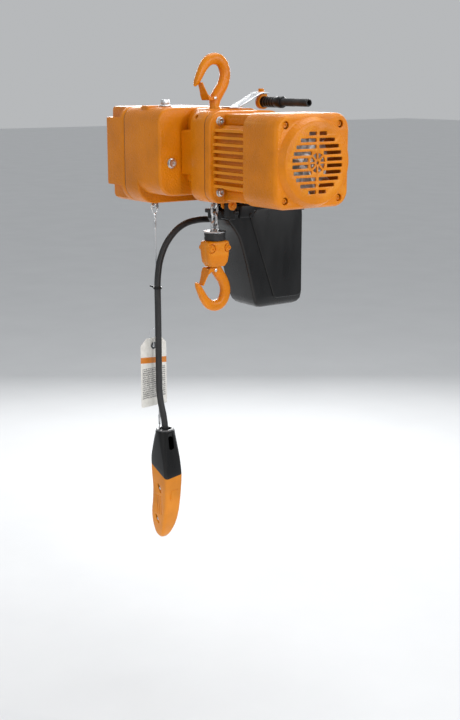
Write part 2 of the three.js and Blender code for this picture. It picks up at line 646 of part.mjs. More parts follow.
// Flat links lie in pockets, with relief where they come and go; upright links run in the groove.
function loadWheel() {
  const pocketR = WHEEL_PITCH_R * Math.cos(LINK_ANGLE / 2);
  const { halfX, r, grooveHalf, grooveR } = WHEEL;
  const room = (y, z) => box(-11.6, 11.6, y - 4.8, y + 4.8, z - 14.2, z + 14.2);
  let wheel = bar('x', -halfX, halfX, r, 0, 0, 32);
  wheel = wheel.subtract(ring('x', -grooveHalf, grooveHalf, 40, grooveR, 0, 0, 20));
  for (let i = 0; i < POCKETS; i += 1) {
    const turn = (i * 360) / POCKETS;
    wheel = wheel.subtract(room(pocketR, 0).rotate([turn - 22.5, 0, 0]));
    for (const side of [-1, 1]) {
      wheel = wheel.subtract(room(WHEEL_PITCH_R, side * 10.5).rotate([turn, 0, 0]));
    }
  }
  const rim = bar('x', -halfX, halfX, SLEEVE_R + 1, 0, 0, 28);
  const sleeve = bar('x', -86, 34, SLEEVE_R, 0, 0, 28).subtract(rim);
  const neck = bar('x', -halfX - 0.5, halfX + 0.5, grooveR, 0, 0, 20);
  const shape = add(wheel, sleeve, neck).subtract(bar('x', -90, 40, SHAFT_R + 0.5, 0, 0, 20));
  return shape.translate([0, AXIS_Y, AXIS_Z]);
}

function chainGuide() {
  const block = box(-16.5, 16.5, AXIS_Y - 39.5, AXIS_Y + 39.5, -280, -238);
  const cuts = [];
  for (const y of [0, 2 * AXIS_Y]) {
    cuts.push(box(-12.5, 12.5, y - 12.5, y + 12.5, -300, -230));
  }
  return block.subtract(add(...cuts));
}

function chainHeap() {
  const heap = [];
  for (let i = 0; i < HEAP.links; i += 1) {
    const angle = (i / HEAP.links) * 2 * Math.PI;
    const turn = THREE.MathUtils.radToDeg(angle);
    const turned = link().rotate([90, 0, 0]).rotate([i % 2 ? 55 : -20, 0, turn]);
    heap.push(turned.translate([
      HEAP.x + HEAP.r * Math.cos(angle), HEAP.y + HEAP.r * Math.sin(angle), HEAP.z]));
  }
  const core = ring('z', HEAP.z - 4, HEAP.z + 4, HEAP.r + 4, HEAP.r - 4, HEAP.x, HEAP.y, 16);
  return add(core, ...heap);
}

// ---------------------------------------------------------------- hooks
// Centre line from the neck round to the tip: place, half thickness across the bend, half width.
const HOOK_LINE = [
  { y: 0, z: HOOK_NECK, t: 11, w: 11 },
  { y: 2, z: -73, t: 12.5, w: 10.5 },
  { y: 11, z: -59, t: 12.5, w: 10 },
  { y: 22, z: -43, t: 12, w: 10 },
  { y: 28, z: -24, t: 12, w: 10 },
  { y: 25, z: -5, t: 12, w: 10 },
  { y: 15, z: 8, t: 12.2, w: 10 },
  { y: 0, z: 12.4, t: 12.4, w: 10 },
  { y: -16, z: 8, t: 11.4, w: 9.5 },
  { y: -29, z: -5, t: 9.6, w: 9 },
  { y: -39, z: -22, t: 8, w: 8 },
  { y: -47, z: -37, t: 6, w: 7 },
  { y: -52, z: -45, t: 2.5, w: 3 },
];

function pivotHeight(saddle, flip) {
  return flip ? saddle - LATCH_PIVOT.z : saddle + LATCH_PIVOT.z;
}

function hook(saddle, flip, shankEnd) {
  const place = (p) => new THREE.Vector3(0, p.y, flip ? saddle - p.z : saddle + p.z);
  const curve = new THREE.CatmullRomCurve3(HOOK_LINE.map(place), false, 'centripetal');
  const steps = 20;
  const rings = [];
  for (let i = 0; i <= steps; i += 1) {
    const u = i / steps;
    const centre = curve.getPoint(u);
    const along = curve.getTangent(u);
    const across = new THREE.Vector3(0, -along.z, along.y);
    const at = u * (HOOK_LINE.length - 1);
    const k = Math.min(Math.floor(at), HOOK_LINE.length - 2);
    const t = THREE.MathUtils.lerp(HOOK_LINE[k].t, HOOK_LINE[k + 1].t, at - k);
    const w = THREE.MathUtils.lerp(HOOK_LINE[k].w, HOOK_LINE[k + 1].w, at - k);
    rings.push(sectionRing(centre, across, t, w));
  }
  const neck = place(HOOK_LINE[0]).z;
  const [low, high] = flip ? [neck - 4, shankEnd] : [shankEnd, neck + 4];
  const shank = bar('z', low, high, HOOK_SHANK_R, 0, 0, 20);
  const bore = bar('x', -30, 30, LATCH_PIN.bore, LATCH_PIVOT.y, pivotHeight(saddle, flip), 12);
  return loft(rings).add(shank).subtract(bore);
}

// Flattened oval, twelve-sided.
function sectionRing(centre, across, t, w) {
  const points = [];
  for (let i = 0; i < 12; i += 1) {
    const angle = (i / 12) * 2 * Math.PI;
    const squash = (v) => Math.sign(v) * Math.abs(v) ** 0.8;
    const point = centre.clone().addScaledVector(across, t * squash(Math.cos(angle)));
    points.push(point.add(new THREE.Vector3(w * squash(Math.sin(angle)), 0, 0)));
  }
  return points;
}

// Bent sheet latch: two ears on the pivot pin and a tongue that closes on the tip.
function latch(saddle, flip) {
  const { length, half, bend, lean, tongueHalf } = LATCH;
  const sheet = box(-half, half, LATCH.out, LATCH.in, 1.5, length - 6);
  const tongue = box(-tongueHalf, tongueHalf, LATCH.out, LATCH.in, length - 7, length);
  const ears = [];
  for (const [x0, x1] of [[-half, -bend], [bend, half]]) {
    ears.push(extrude('x', outline(LATCH_EAR), x0, x1), bar('x', x0, x1, 5, 0, 0, 16));
  }
  let body = add(sheet, tongue, ...ears).subtract(bar('x', -20, 20, LATCH_PIN.eye, 0, 0, 12));
  body = body.rotate([lean, 0, 0]);
  if (flip) body = body.mirror([0, 0, 1]);
  return body.translate([0, LATCH_PIVOT.y, pivotHeight(saddle, flip)]);
}

function latchPin(saddle, flip) {
  const { half, r } = LATCH_PIN;
  return bar('x', -half, half, r, LATCH_PIVOT.y, pivotHeight(saddle, flip), 12);
}

// ---------------------------------------------------------------- hook block
function blockHalf(side) {
  const levels = [
    { z: BLOCK_TOP, x: 15, y: 22 },
    { z: BLOCK_TOP - 6, x: BLOCK_HALF_X, y: BLOCK_HALF_Y - 2 },
    { z: BLOCK_TOP - 16, x: BLOCK_HALF_X, y: BLOCK_HALF_Y },
    { z: BLOCK_BOTTOM + 7, x: BLOCK_HALF_X - 2, y: BLOCK_HALF_Y - 6 },
    { z: BLOCK_BOTTOM, x: 16.5, y: 19 },
  ];
  let body = loft(levels.map((l) => levelRing(-l.x, l.x, -l.y, l.y, 10, l.z)));
  const room = BLOCK_ROOM;
  body = body.subtract(bar('z', room.low, room.high, room.r, 0, 0));
  body = body.subtract(bar('z', BLOCK_BOTTOM - 10, BLOCK_TOP + 5, room.chainR, 0, 0));
  body = body.subtract(bar('z', BLOCK_BOTTOM - 10, room.shankTop, room.shankR, 0, 0));
  body = body.subtract(bar('x', -16.2, 16.2, 3.3, 0, CHAIN_PIN_Z, 12));
  const { z, bossR, bossOut, bossIn, boreR } = BLOCK_BOLT;
  const [boss0, boss1] = side > 0 ? [bossIn, bossOut] : [-bossOut, -bossIn];
  for (const y of [-BLOCK_BOLT.y, BLOCK_BOLT.y]) {
    body = body.add(bar('x', boss0, boss1, bossR, y, z, 16));
    body = body.subtract(bar('x', -40, 40, boreR, y, z, 12));
  }
  const [x0, x1] = side > 0 ? [-60, GAP / 2] : [-GAP / 2, 60];
  return body.subtract(box(x0, x1, -60, 60, -500, -300));
}

// ---------------------------------------------------------------- chain bucket
function bucket() {
  const levels = BUCKET_LEVELS;
  const outer = loft(levels.map((l) => levelRing(l.left, l.right, l.front, l.back, l.r, l.z)));
  const t = BUCKET_WALL;
  // The hollow starts above the rim, so that the bucket is open, and ends one wall above the bottom.
  const heights = levels.map((l) => l.z);
  heights[0] += 5;
  heights[levels.length - 1] += t;
  const inside = levels.map((l, i) => (
    levelRing(l.left + t, l.right - t, l.front + t, l.back - t, l.r - t, heights[i])));
  let body = outer.subtract(loft(inside));
  const [ear0, ear1] = [EAR_X[0] + EAR_THICK + 1, EAR_X[1] - 1];
  const hanger = box(ear0, ear1, EAR_Y - 6, EAR_Y + 6, -326, EAR_Z + 7);
  const shelf = box(12, ear1, 10, 22, -332, BUCKET_TOP);
  const sideArm = box(-57, -53, 30, 90, -324, CASE_HIGH - GAP);
  body = add(body, hanger, shelf, sideArm);
  return body.subtract(bar('x', 10, 60, PIN_BORE_R, EAR_Y, EAR_Z, 16));
}

// ---------------------------------------------------------------- power inlet
function supportArm() {
  const strip = extrude('x', outline(ARM_PROFILE), ...ARM_X);
  return strip.subtract(bar('z', -75, -50, 4.3, CLAMP.boltX, CLAMP.boltY, 12));
}

function cableClamp() {
  const { from, to, r, bore, boltX, boltY } = CLAMP;
  const band = ring('x', from, to, r, bore, INLET_Y, INLET_Z, 24);
  const tab = box(from, to, INLET_Y - 9, INLET_Y + 9, -67.5, -62.3);
  const boltBore = bar('z', -75, -50, 3, boltX, boltY, 12);
  const cableBore = bar('x', -20, 30, bore, INLET_Y, INLET_Z, 24);
  return band.add(tab).subtract(boltBore).subtract(cableBore);
}

function powerGland() {
  const { from, collar, to, r, nutR, bore } = INLET_GLAND;
  const body = bar('x', from, collar, r, INLET_Y, INLET_Z, 20);
  const nut = bar('x', collar, to, nutR, INLET_Y, INLET_Z, 12);
  return add(body, nut).subtract(bar('x', 20, to + 8, bore, INLET_Y, INLET_Z, 20));
}

function powerSleeve() {
  const { from, to, r, bore } = INLET_SLEEVE;
  return ring('x', from, to, r, bore, INLET_Y, INLET_Z, 16);
}

// ---------------------------------------------------------------- pendant
// Solid of the pendant, grown by the given amount. Its hollow is the same solid, shrunk.
function pendantShell(grow) {
  const rings = PENDANT_LEVELS.map((l, i) => {
    const [hw, hd] = [Math.max(l.w / 2 + grow, 3), Math.max(l.d / 2 + grow, 3)];
    const r = Math.min(Math.max(l.r + grow, 2), hw, hd) * 0.98;
    const lift = i === PENDANT_LEVELS.length - 1 ? -2 * grow : 0;
    return levelRing(l.x - hw, l.x + hw, PENDANT_Y - hd, PENDANT_Y + hd, r, l.z + lift);
  });
  return loft(rings);
}

// Everything above the slanted joint of the cap, lifted by the given amount.
function aboveSplit(lift) {
  const normal = new THREE.Vector3(-CAP_SPLIT.slopeX, -CAP_SPLIT.slopeY, 1).normalize();
  const turn = new THREE.Quaternion().setFromUnitVectors(new THREE.Vector3(0, 0, 1), normal);
  const slab = new THREE.BoxGeometry(400, 400, 300);
  slab.translate(0, 0, 150).applyQuaternion(turn);
  return solid(slab.translate(CAP_SPLIT.x, PENDANT_Y, CAP_SPLIT.z + lift));
}

function pendantCap() {
  const hollow = pendantShell(0).subtract(pendantShell(-PENDANT_WALL));
  let body = hollow.intersect(aboveSplit(GAP / 2));
  const [low, high] = [CAP_TOP - 30, CAP_TOP + 5];
  body = body.add(bar('z', CAP_TOP - 8, CAP_TOP, CABLE_MOUTH.outerR, CABLE_MOUTH.x, PENDANT_Y, 24));
  body = body.subtract(bar('z', low, high, CABLE_MOUTH.r, CABLE_MOUTH.x, PENDANT_Y, 24));
  return body.subtract(bar('z', low, high, WIRE_MOUTH.r, WIRE_MOUTH.x, PENDANT_Y, 10));
}

function pendantBody() {
  let body = pendantShell(0).subtract(pendantShell(-PENDANT_WALL)).subtract(aboveSplit(-GAP / 2));
  const h = BUTTON.half + BUTTON.clear;
  const [y0, y1] = [PENDANT_Y + 10, PENDANT_Y + 40];
  for (const z of [BUTTON.low, BUTTON.high]) {
    body = body.subtract(box(BUTTON.x - h, BUTTON.x + h, y0, y1, z - h, z + h));
  }
  return body;
}

function pushButton(z) {
  const { x, half } = BUTTON;
  const face = box(x - half, x + half, PENDANT_Y + 17, PENDANT_Y + 22.5, z - half, z + half);
  const stem = box(x - 4, x + 4, PENDANT_Y + 12.5, PENDANT_Y + 18, z - 4, z + 4);
  return face.add(stem);
}

function contactBlock() {
  return box(-113, -83, PENDANT_Y - 12, PENDANT_Y + 7.5, -1030, -960);
}

// ---------------------------------------------------------------- wires and tag
function strainWire() {
  const [x, y, z] = WIRE_TOP;
  const eye = tube([
    [x, y, z + 6], [x, y - 7, z + 3], [x, y - 9, z - 5], [x, y - 4, z - 15], [x + 0.3, y, z - 23],
    [x, y + 4, z - 15], [x, y + 9, z - 5], [x, y + 7, z + 3],
  ], WIRE_R * 0.85, 24, 6, true);
  const run = tube([WIRE_JOIN, WIRE_END], WIRE_R, 3);
  const ferrule = tube([WIRE_JOIN, [WIRE_JOIN[0] + 0.3, WIRE_JOIN[1], WIRE_JOIN[2] - 14]], 3, 1);
  return add(eye, run, ferrule);
}

// Pin between two lugs under the gear case, which the eye of the strain wire hangs on.
function wireAnchor() {
  const [x, y, z] = WIRE_TOP;
  const pin = bar('x', x - 9, x + 9, 2.6, y, z + 1.6, 12);
  const lugs = [-1, 1].map((side) => box(
    x + side * 7 - 1.5, x + side * 7 + 1.5, y - 4, y + 5, z - 4, CASE_LOW - GAP));
  return add(pin, ...lugs);
}

function cableTie() {
  const { low, high } = TIE;
  const outer = bar('z', low, high - 0.5, 11.5, TIE.x - 4.5, TIE.y + 1, 16);
  const tail = box(-150, -131, -79.2, -77.6, low + 0.5, high - 1);
  const head = box(-136, -130, -81.5, -75.5, low, high);
  return add(outer, tail, head)
    .subtract(bar('z', -510, -490, CABLE_R + 0.8, TIE.x, TIE.y, 16))
    .subtract(bar('z', -510, -490, 2.4, -131.7, -73, 12));
}

function cableElbow() {
  const { x, y, z, r, flangeR, nutR } = ELBOW;
  const bend = [[x, y, CASE_HIGH - 0.4], [x, y, z + 19], [x, y - 6, z + 5], [x, y - 18, z], [x, y - 23, z]];
  const flange = bar('z', CASE_HIGH - 6, CASE_HIGH - GAP, flangeR, x, y, 20);
  const nut = bar('y', y - 22, y - 8, nutR, x, z, 8);
  const mouth = bar('y', y - 38, y - 19, CABLE_R + 1, x, z, 12);
  return add(tube(bend, r, 9, 10), flange, nut).subtract(mouth);
}

function placeTag(shape) {
  return shape.rotate([0, 0, TAG.turn]).translate([TAG.x, TAG.y, 0]);
}

function tagCard() {
  const { halfWidth: w, top, bottom, eye } = TAG;
  const cut = TAG_CUT;
  const shape = outline([
    [-w, bottom], [w, bottom], [w, top - cut.z], [w - cut.x, top], [cut.x - w, top], [-w, top - cut.z]]);
  const cardBody = extrude('x', shape, -0.5, 0.5).subtract(bar('x', -3, 3, TAG_HOLE_R, 0, eye, 16));
  return placeTag(cardBody);
}

function tagEyelet() {
  const face = bar('x', ...EYELET.face, EYELET.r, 0, TAG.eye, 20);
  const barrel = bar('x', ...EYELET.barrel, EYELET.barrelR, 0, TAG.eye, 20);
  return placeTag(face.add(barrel).subtract(bar('x', -5, 5, EYELET.bore, 0, TAG.eye, 20)));
}

function tagLoop() {
  return tube(TAG_LOOP, TAG_LOOP_R, 30, 6, true);
}

function oilPlug() {
  const { x, y, threadR, flangeR, hexR, headTop } = OIL_PLUG;
  const flange = bar('z', CASE_TOP + 1.8, CASE_TOP + 4.8, flangeR, x, y, 20);
  const head = bar('z', CASE_TOP + 4, CASE_TOP + headTop, hexR, x, y, 6);
  const thread = bar('z', CASE_TOP - 8, CASE_TOP + 3, threadR, x, y, 16);
  return add(flange, head, thread);
}

function bucketPin() {
  return bar('x', EAR_X[0] - 3, EAR_X[1] + EAR_THICK + 3, BUCKET_PIN_R, EAR_Y, EAR_Z, 16);
}

function hookNut({ low, high, r }) {
  return ring('z', low, high, r, HOOK_SHANK_R + GAP, 0, 0, 6);
}

function cushionRing(low, high, outer) {
  return ring('z', low, high, outer, CUSHION_PLATE.bore, 0, 0, 28);
}

// ---------------------------------------------------------------- assembly
const hoist = new THREE.Group();

const body = new THREE.Group();
body.add(
  piece('end_cover', endCover(), paint),
  piece('gear_case', gearCase(), paint),
  piece('gear_plate', gearPlate(), castAlloy),
  piece('frame', frameCasting(), paint),
  piece('motor_housing', motorHousing(), paint),
  piece('motor_end_shield', endShield(), castAlloy),
  piece('fan_cover', fanCover(), paint),
  piece('stator', stator(), copper),
  piece('brake_magnet', brakeRing(BRAKE.magnet, BRAKE.r, SHAFT_R + 4), steel),
  piece('brake_armature', brakeRing(BRAKE.armature, BRAKE.r, SHAFT_R + 4), steel),
  piece('shaft_bearing_drive', bearing(X_FRAME + 4, X_FRAME + 16, 19.9, SHAFT_R + GAP), steel),
  piece('shaft_bearing_fan', bearing(X_MOTOR - 10, X_MOTOR - 1, 17, SHAFT_R + GAP), steel),
  piece('wheel_bearing_gear_side', bearing(X_CASE + 2, -18, 26, SLEEVE_R + GAP), steel),
  piece('wheel_bearing_motor_side', bearing(18, 32, 26, SLEEVE_R + GAP), steel),
  piece('chain_guide', chainGuide(), steel),
  piece('control_unit', controlUnit(), boardGreen),
  piece('oil_plug', oilPlug(), zinc),
  piece('wire_anchor', wireAnchor(), zinc),
  piece('support_arm', supportArm(), zinc),
  piece('cable_clamp', cableClamp(), paint),
  piece('power_gland', powerGland(), blackPlastic),
  piece('power_cable_sleeve', powerSleeve(), blackRubber),
  piece('cable_elbow', cableElbow(), blackPlastic),
  piece('bucket_pin', bucketPin(), zinc),
  piece('chain_bucket', bucket(), blackPlastic),
  piece('chain_heap', chainHeap(), zinc),
  piece('pendant_cable_arc', tube(CABLE_ARC, CABLE_R, 22, 10), blackRubber),
);

const topHook = new THREE.Group();
topHook.add(
  piece('top_hook', hook(0, false, TOP_SHANK_END), paint),
  piece('top_hook_nut', hookNut(TOP_NUT), steel),
  piece('top_latch_pin', latchPin(0, false), zinc),
  piece('top_latch', latch(0, false), paint),
);

const drive = new THREE.Group();
drive.add(
  piece('motor_shaft', motorShaft(), steel),
  piece('fan', fan(), castAlloy),
  piece('brake_disc', brakeRing(BRAKE.disc, BRAKE.discR, SHAFT_R + GAP), steel),
  piece('layshaft', layshaft(), steel),
  piece('load_wheel', loadWheel(), steel),
  piece('output_gear', outputGear(), steel),
  piece('chain_wrap', chainWrap(), zinc),
  piece('chain_slack', straightChain(SLACK_Y, FALL_TOP, SLACK_LINKS, false), zinc),
);

const load = new THREE.Group();
load.add(
  piece('chain_fall', straightChain(0, FALL_TOP, FALL_LINKS, true), zinc),
  piece('cushion_plate', cushionRing(CUSHION_PLATE.low, CUSHION_PLATE.high, CUSHION_R), zinc),
  piece('cushion_rubber', cushionRing(BLOCK_TOP + GAP, CUSHION_PLATE.low - GAP, CUSHION_R - 1), blackRubber),
  piece('block_half_front', blockHalf(1), paint),
  piece('block_half_back', blockHalf(-1), paint),
  piece('chain_pin', bar('x', -16, 16, 3, 0, CHAIN_PIN_Z, 12), steel),
  piece('load_hook', hook(LOAD_SADDLE, true, LOAD_SHANK_END), paint),
  piece('load_hook_nut', hookNut(LOAD_NUT), steel),
  piece('load_latch_pin', latchPin(LOAD_SADDLE, true), zinc),
  piece('load_latch', latch(LOAD_SADDLE, true), paint),
);

const pendant = new THREE.Group();
pendant.add(
  piece('strain_wire', strainWire(), zinc),
  piece('pendant_cable_drop', tube(CABLE_DROP, CABLE_R, 24, 10), blackRubber),
  piece('cable_tie', cableTie(), blackPlastic),
  piece('pendant_cap', pendantCap(), blackPlastic),
  piece('pendant_body', pendantBody(), paint),
  piece('contact_block', contactBlock(), blackPlastic),
  piece('button_up', pushButton(BUTTON.high), blackPlastic),
  piece('button_down', pushButton(BUTTON.low), blackPlastic),
  piece('tag', tagCard(), card),
  piece('tag_eyelet', tagEyelet(), zinc),
  piece('tag_loop', tagLoop(), zinc),
);

hoist.add(body, topHook, drive, load, pendant);

export default hoist;
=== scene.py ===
"""Looks of the electric chain hoist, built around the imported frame. Lengths are in millimetres
until a mesh is made, in the frame's own axes: +Z up, +X towards the fan, -Y the operator's side."""
import json
import math

import bmesh
import bpy
from mathutils import Matrix, Vector


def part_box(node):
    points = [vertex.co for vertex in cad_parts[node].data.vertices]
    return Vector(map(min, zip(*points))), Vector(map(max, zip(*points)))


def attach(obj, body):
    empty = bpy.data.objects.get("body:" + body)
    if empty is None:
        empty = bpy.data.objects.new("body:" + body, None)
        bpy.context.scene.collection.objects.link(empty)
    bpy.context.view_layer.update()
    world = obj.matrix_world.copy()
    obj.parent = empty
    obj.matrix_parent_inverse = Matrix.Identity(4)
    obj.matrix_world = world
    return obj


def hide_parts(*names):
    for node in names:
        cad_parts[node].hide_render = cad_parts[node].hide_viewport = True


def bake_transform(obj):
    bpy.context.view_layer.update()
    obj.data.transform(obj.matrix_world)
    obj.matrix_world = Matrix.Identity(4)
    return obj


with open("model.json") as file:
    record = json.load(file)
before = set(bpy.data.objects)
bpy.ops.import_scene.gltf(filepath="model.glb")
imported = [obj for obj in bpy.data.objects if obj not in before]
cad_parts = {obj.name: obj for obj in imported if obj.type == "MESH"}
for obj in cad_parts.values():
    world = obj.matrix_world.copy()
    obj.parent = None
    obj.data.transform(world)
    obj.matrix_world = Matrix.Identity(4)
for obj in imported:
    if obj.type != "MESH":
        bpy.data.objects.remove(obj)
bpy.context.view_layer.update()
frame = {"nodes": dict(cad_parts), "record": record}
MM = 0.001


# ---------------------------------------------------------------- places read from the frame
class Box:
    """A CAD node's box at rest, in millimetres."""

    def __init__(self, node):
        low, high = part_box(node)
        self.x0, self.y0, self.z0 = (v / MM for v in low)
        self.x1, self.y1, self.z1 = (v / MM for v in high)
        self.x, self.y, self.z = ((a + b) / 2 for a, b in
                                  ((self.x0, self.x1), (self.y0, self.y1), (self.z0, self.z1)))


END, CASE, FRAME = Box("end_cover"), Box("gear_case"), Box("frame")
MOTOR, COVER = Box("motor_housing"), Box("fan_cover")
PLUG, GLAND, ARM = Box("oil_plug"), Box("power_gland"), Box("support_arm")
AXIS_Y, AXIS_Z = MOTOR.y, MOTOR.z

# Main sizes of the castings, as in the CAD model.
CASE_HIGH = -282
CASE_STEP_X = -124.4
CASE_TOP = END.z1
CASE_TOP_R = 30
CASE_BOTTOM_R = 46
FLANGE_HALF = 97
FLANGE_R = 30
FLANGE_FRONT = AXIS_Y - FLANGE_HALF
BUCKET_PIN = (12, -301)
LEVEL_PLUG = (-90.5, -210)
CORE_Y, CORE_Z = 77, 70
NECK_END_X = 10.3
FRAME_END_X = 63.3
FINS_X = 83.7
FAN_FACE_X = 308
GRILLE_R = 66
SLOT_PITCH = 12.9
SLOT_HEIGHT = 7.4
HUB_R = 24
FIN_PITCH = 14.6
FIN_COUNT = 9
LINK_WIRE = 6.3
LINK_PITCH = 19.1
LINK_WIDTH = 21
FALL_TOP = -190.7
SLACK_Y = 48.7
BLOCK_BOLT_Y, BLOCK_BOLT_Z = 22.5, -398
HEAP_Z = -518
LOAD_SADDLE = -518.5
LATCH_PIVOT = (-8, -71)
LATCH_LEAN = 22
CABLE_R = 7.5
CABLE_ROUTE = [
    (-106, 74.4, -349), (-106.5, 60, -349), (-109, 40, -348.5), (-111, 20, -350), (-113.5, 0, -354.5),
    (-117, -18, -364), (-120, -34, -378), (-122, -50, -398), (-122, -62, -420), (-121, -71, -444),
    (-118.3, -77, -470), (-117.6, -79, -490), (-117.5, -79, -500), (-117.5, -79, -520),
    (-117, -79, -560), (-117, -79, -640), (-117, -79, -710), (-116, -79, -745),
    (-111, -78, -775), (-104, -76, -803), (-100, -75, -830), (-99.5, -75, -850),
]
WIRE_TOP = (-136, -72, -314)
WIRE_JOIN = (-135.5, -72, -336)
WIRE_END = (-123.5, -75, -848)
TAG_X, TAG_Y, TAG_EYE, TAG_TURN = -140, -78.5, -639, 7.4


# ---------------------------------------------------------------- camera, light and stage
def add_camera():
    data = bpy.data.cameras.new("camera")
    data.lens = 58.6
    data.clip_end = 50
    camera = bpy.data.objects.new("camera", data)
    camera.location = (2.139, -1.512, -0.0325)
    camera.rotation_euler = (math.radians(90 - 13.44), 0, math.radians(54))
    bpy.context.scene.collection.objects.link(camera)
    bpy.context.scene.camera = camera


def add_light(name, place, target, size, watts, colour=(1, 1, 1)):
    data = bpy.data.lights.new(name, "AREA")
    data.shape = "RECTANGLE"
    data.size, data.size_y = size
    data.energy = watts
    data.color = colour
    light = bpy.data.objects.new(name, data)
    light.location = place
    light.visible_camera = False
    light.rotation_euler = (Vector(target) - Vector(place)).to_track_quat("-Z", "Y").to_euler()
    bpy.context.scene.collection.objects.link(light)


def add_stage():
    world = bpy.data.worlds.new("studio")
    bpy.context.scene.world = world
    world.use_nodes = True
    background = world.node_tree.nodes["Background"]
    background.inputs["Color"].default_value = (0.86, 0.88, 0.90, 1)
    bpy.context.scene.view_settings.view_transform = "Standard"
    background.inputs["Strength"].default_value = 0.55
    add_light("key_above", (-0.2, 0.7, 1.9), (0, 0, -0.2), (2.2, 1.6), 38)
    add_light("key_side", (2.2, 1.35, 0.42), (0, 0, -0.15), (1.0, 0.7), 14)
    add_light("side_front", (2.4, -0.2, 0.35), (-0.05, 0, -0.2), (0.5, 0.6), 15)
    add_light("rim_back", (-2.1, 1.5, 0.25), (0, 0, -0.2), (2.4, 0.9), 55)
    add_light("fill_front", (0.9, -2.6, 0.5), (0, 0, -0.4), (0.8, 1.8), 9)
    add_light("bounce_below", (0.3, -0.4, -1.35), (0, 0, -0.3), (1.6, 1.6), 5, (1.0, 0.90, 0.80))
    floor = mesh_object("floor", [(x * 3e4, y * 3e4, 0) for x, y in ((-1, -1), (1, -1), (1, 1), (-1, 1))],
                        [(0, 1, 2, 3)])
    floor.location.z = -1.42
    floor.data.materials.append(floor_material())


# ---------------------------------------------------------------- mesh helpers
def mesh_object(name, points, faces):
    mesh = bpy.data.meshes.new(name)
    mesh.from_pydata([Vector(p) * MM for p in points], [], faces)
    mesh.validate()
    item = bpy.data.objects.new(name, mesh)
    bpy.context.scene.collection.objects.link(item)
    clean(item)
    return item


def clean(item):
    """Welds double points and turns every face outward."""
    bm = bmesh.new()
    bm.from_mesh(item.data)
    bmesh.ops.remove_doubles(bm, verts=bm.verts, dist=1e-6)
    bmesh.ops.dissolve_degenerate(bm, dist=1e-6, edges=bm.edges)
    bmesh.ops.recalc_face_normals(bm, faces=bm.faces)
    bm.to_mesh(item.data)
    bm.free()


def settle(item):
    """Applies every modifier that the object carries."""
    depsgraph = bpy.context.evaluated_depsgraph_get()
    mesh = bpy.data.meshes.new_from_object(item.evaluated_get(depsgraph))
    old = item.data
    item.modifiers.clear()
    item.data = mesh
    bpy.data.meshes.remove(old)
    return item


def drop(item):
    mesh = item.data
    bpy.data.objects.remove(item)
    bpy.data.meshes.remove(mesh)


def combine(base, others, operation):
    for other in others:
        modifier = base.modifiers.new("boolean", "BOOLEAN")
        modifier.operation = operation
        modifier.solver = "EXACT"
        modifier.object = other
        settle(base)
        drop(other)
    return base


def cut(base, *cutters):
    return combine(base, cutters, "DIFFERENCE")


def join(base, *others):
    return combine(base, others, "UNION")


def gather(base, *others):
    """Puts separate solids into one object, without cutting them into each other."""
    bm = bmesh.new()
    for item in (base, *others):
        bm.from_mesh(item.data)
    bm.to_mesh(base.data)
    bm.free()
    for item in others:
        drop(item)
    return base


def soften(item, width=0.8, segments=2, angle=32):
    bevel = item.modifiers.new("bevel", "BEVEL")
    bevel.width = width * MM
    bevel.segments = segments
    bevel.limit_method = "ANGLE"
    bevel.angle_limit = math.radians(angle)
    return settle(item)


def finish(item, body, look, nodes=(), angle=38):
    """Gives a piece its shading and material, puts it on its body and hides the CAD nodes it stands for."""
    material, slot = look
    for polygon in item.data.polygons:
        polygon.use_smooth = True
    item.data.set_sharp_from_angle(angle=math.radians(angle))
    item.data.materials.clear()
    item.data.materials.append(material)
    if body:
        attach(item, body)
    if nodes:
        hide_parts(*nodes)
    return item


def arc(cx, cy, r, start, end, steps):
    angles = [math.radians(start + (end - start) * i / steps) for i in range(steps + 1)]
    return [(cx + r * math.cos(a), cy + r * math.sin(a)) for a in angles]


def rounded(u0, u1, v0, v1, radii, steps=10):
    """Rounded rectangle, anticlockwise; radii run low-left, low-right, high-right, high-left."""
    a, b, c, d = radii
    return (arc(u0 + a, v0 + a, a, 180, 270, steps) + arc(u1 - b, v0 + b, b, 270, 360, steps)
            + arc(u1 - c, v1 - c, c, 0, 90, steps) + arc(u0 + d, v1 - d, d, 90, 180, steps))


def circle(cu, cv, r, sides=48):
    return arc(cu, cv, r, 0, 360 * (sides - 1) / sides, sides - 1)


def polygon(cu, cv, r, sides, turn):
    angles = [math.radians(360 / sides * i + turn) for i in range(sides)]
    return [(cu + r * math.cos(a), cv + r * math.sin(a)) for a in angles]


def on_axis(axis, u, v, w):
    """A point from its two places across an axis and its station along it."""
    return {"x": (w, u, v), "y": (v, w, u), "z": (u, v, w)}[axis]


def loft(name, rings, closed=False):
    count = len(rings[0])
    points = [p for ring in rings for p in ring]
    faces = []
    last = len(rings) if closed else len(rings) - 1
    for i in range(last):
        a, b = i * count, ((i + 1) % len(rings)) * count
        faces += [(a + j, a + (j + 1) % count, b + (j + 1) % count, b + j) for j in range(count)]
    if not closed:
        faces += [tuple(reversed(range(count))), tuple(range(len(points) - count, len(points)))]
    return mesh_object(name, points, faces)


def prism(name, axis, outline, start, end, bevel=0.0, segments=3):
    rings = [[on_axis(axis, u, v, w) for u, v in outline] for w in (start, end)]
    item = loft(name, rings)
    return soften(item, bevel, segments, 50) if bevel else item


def slab(name, x0, x1, y0, y1, z0, z1, bevel=0.0, segments=2):
    outline = [(x0, y0), (x1, y0), (x1, y1), (x0, y1)]
    return prism(name, "z", outline, z0, z1, bevel, segments)


def turned(name, axis, profile, cu, cv, sides=48):
    """Turned piece: the profile lists (radius, station) along the axis."""
    rings = []
    for radius, station in profile:
        ring = circle(cu, cv, max(radius, 1e-3), sides)
        rings.append([on_axis(axis, u, v, station) for u, v in ring])
    return loft(name, rings)


def rod(name, axis, r, start, end, cu, cv, sides=48):
    return turned(name, axis, [(r, start), (r, end)], cu, cv, sides)


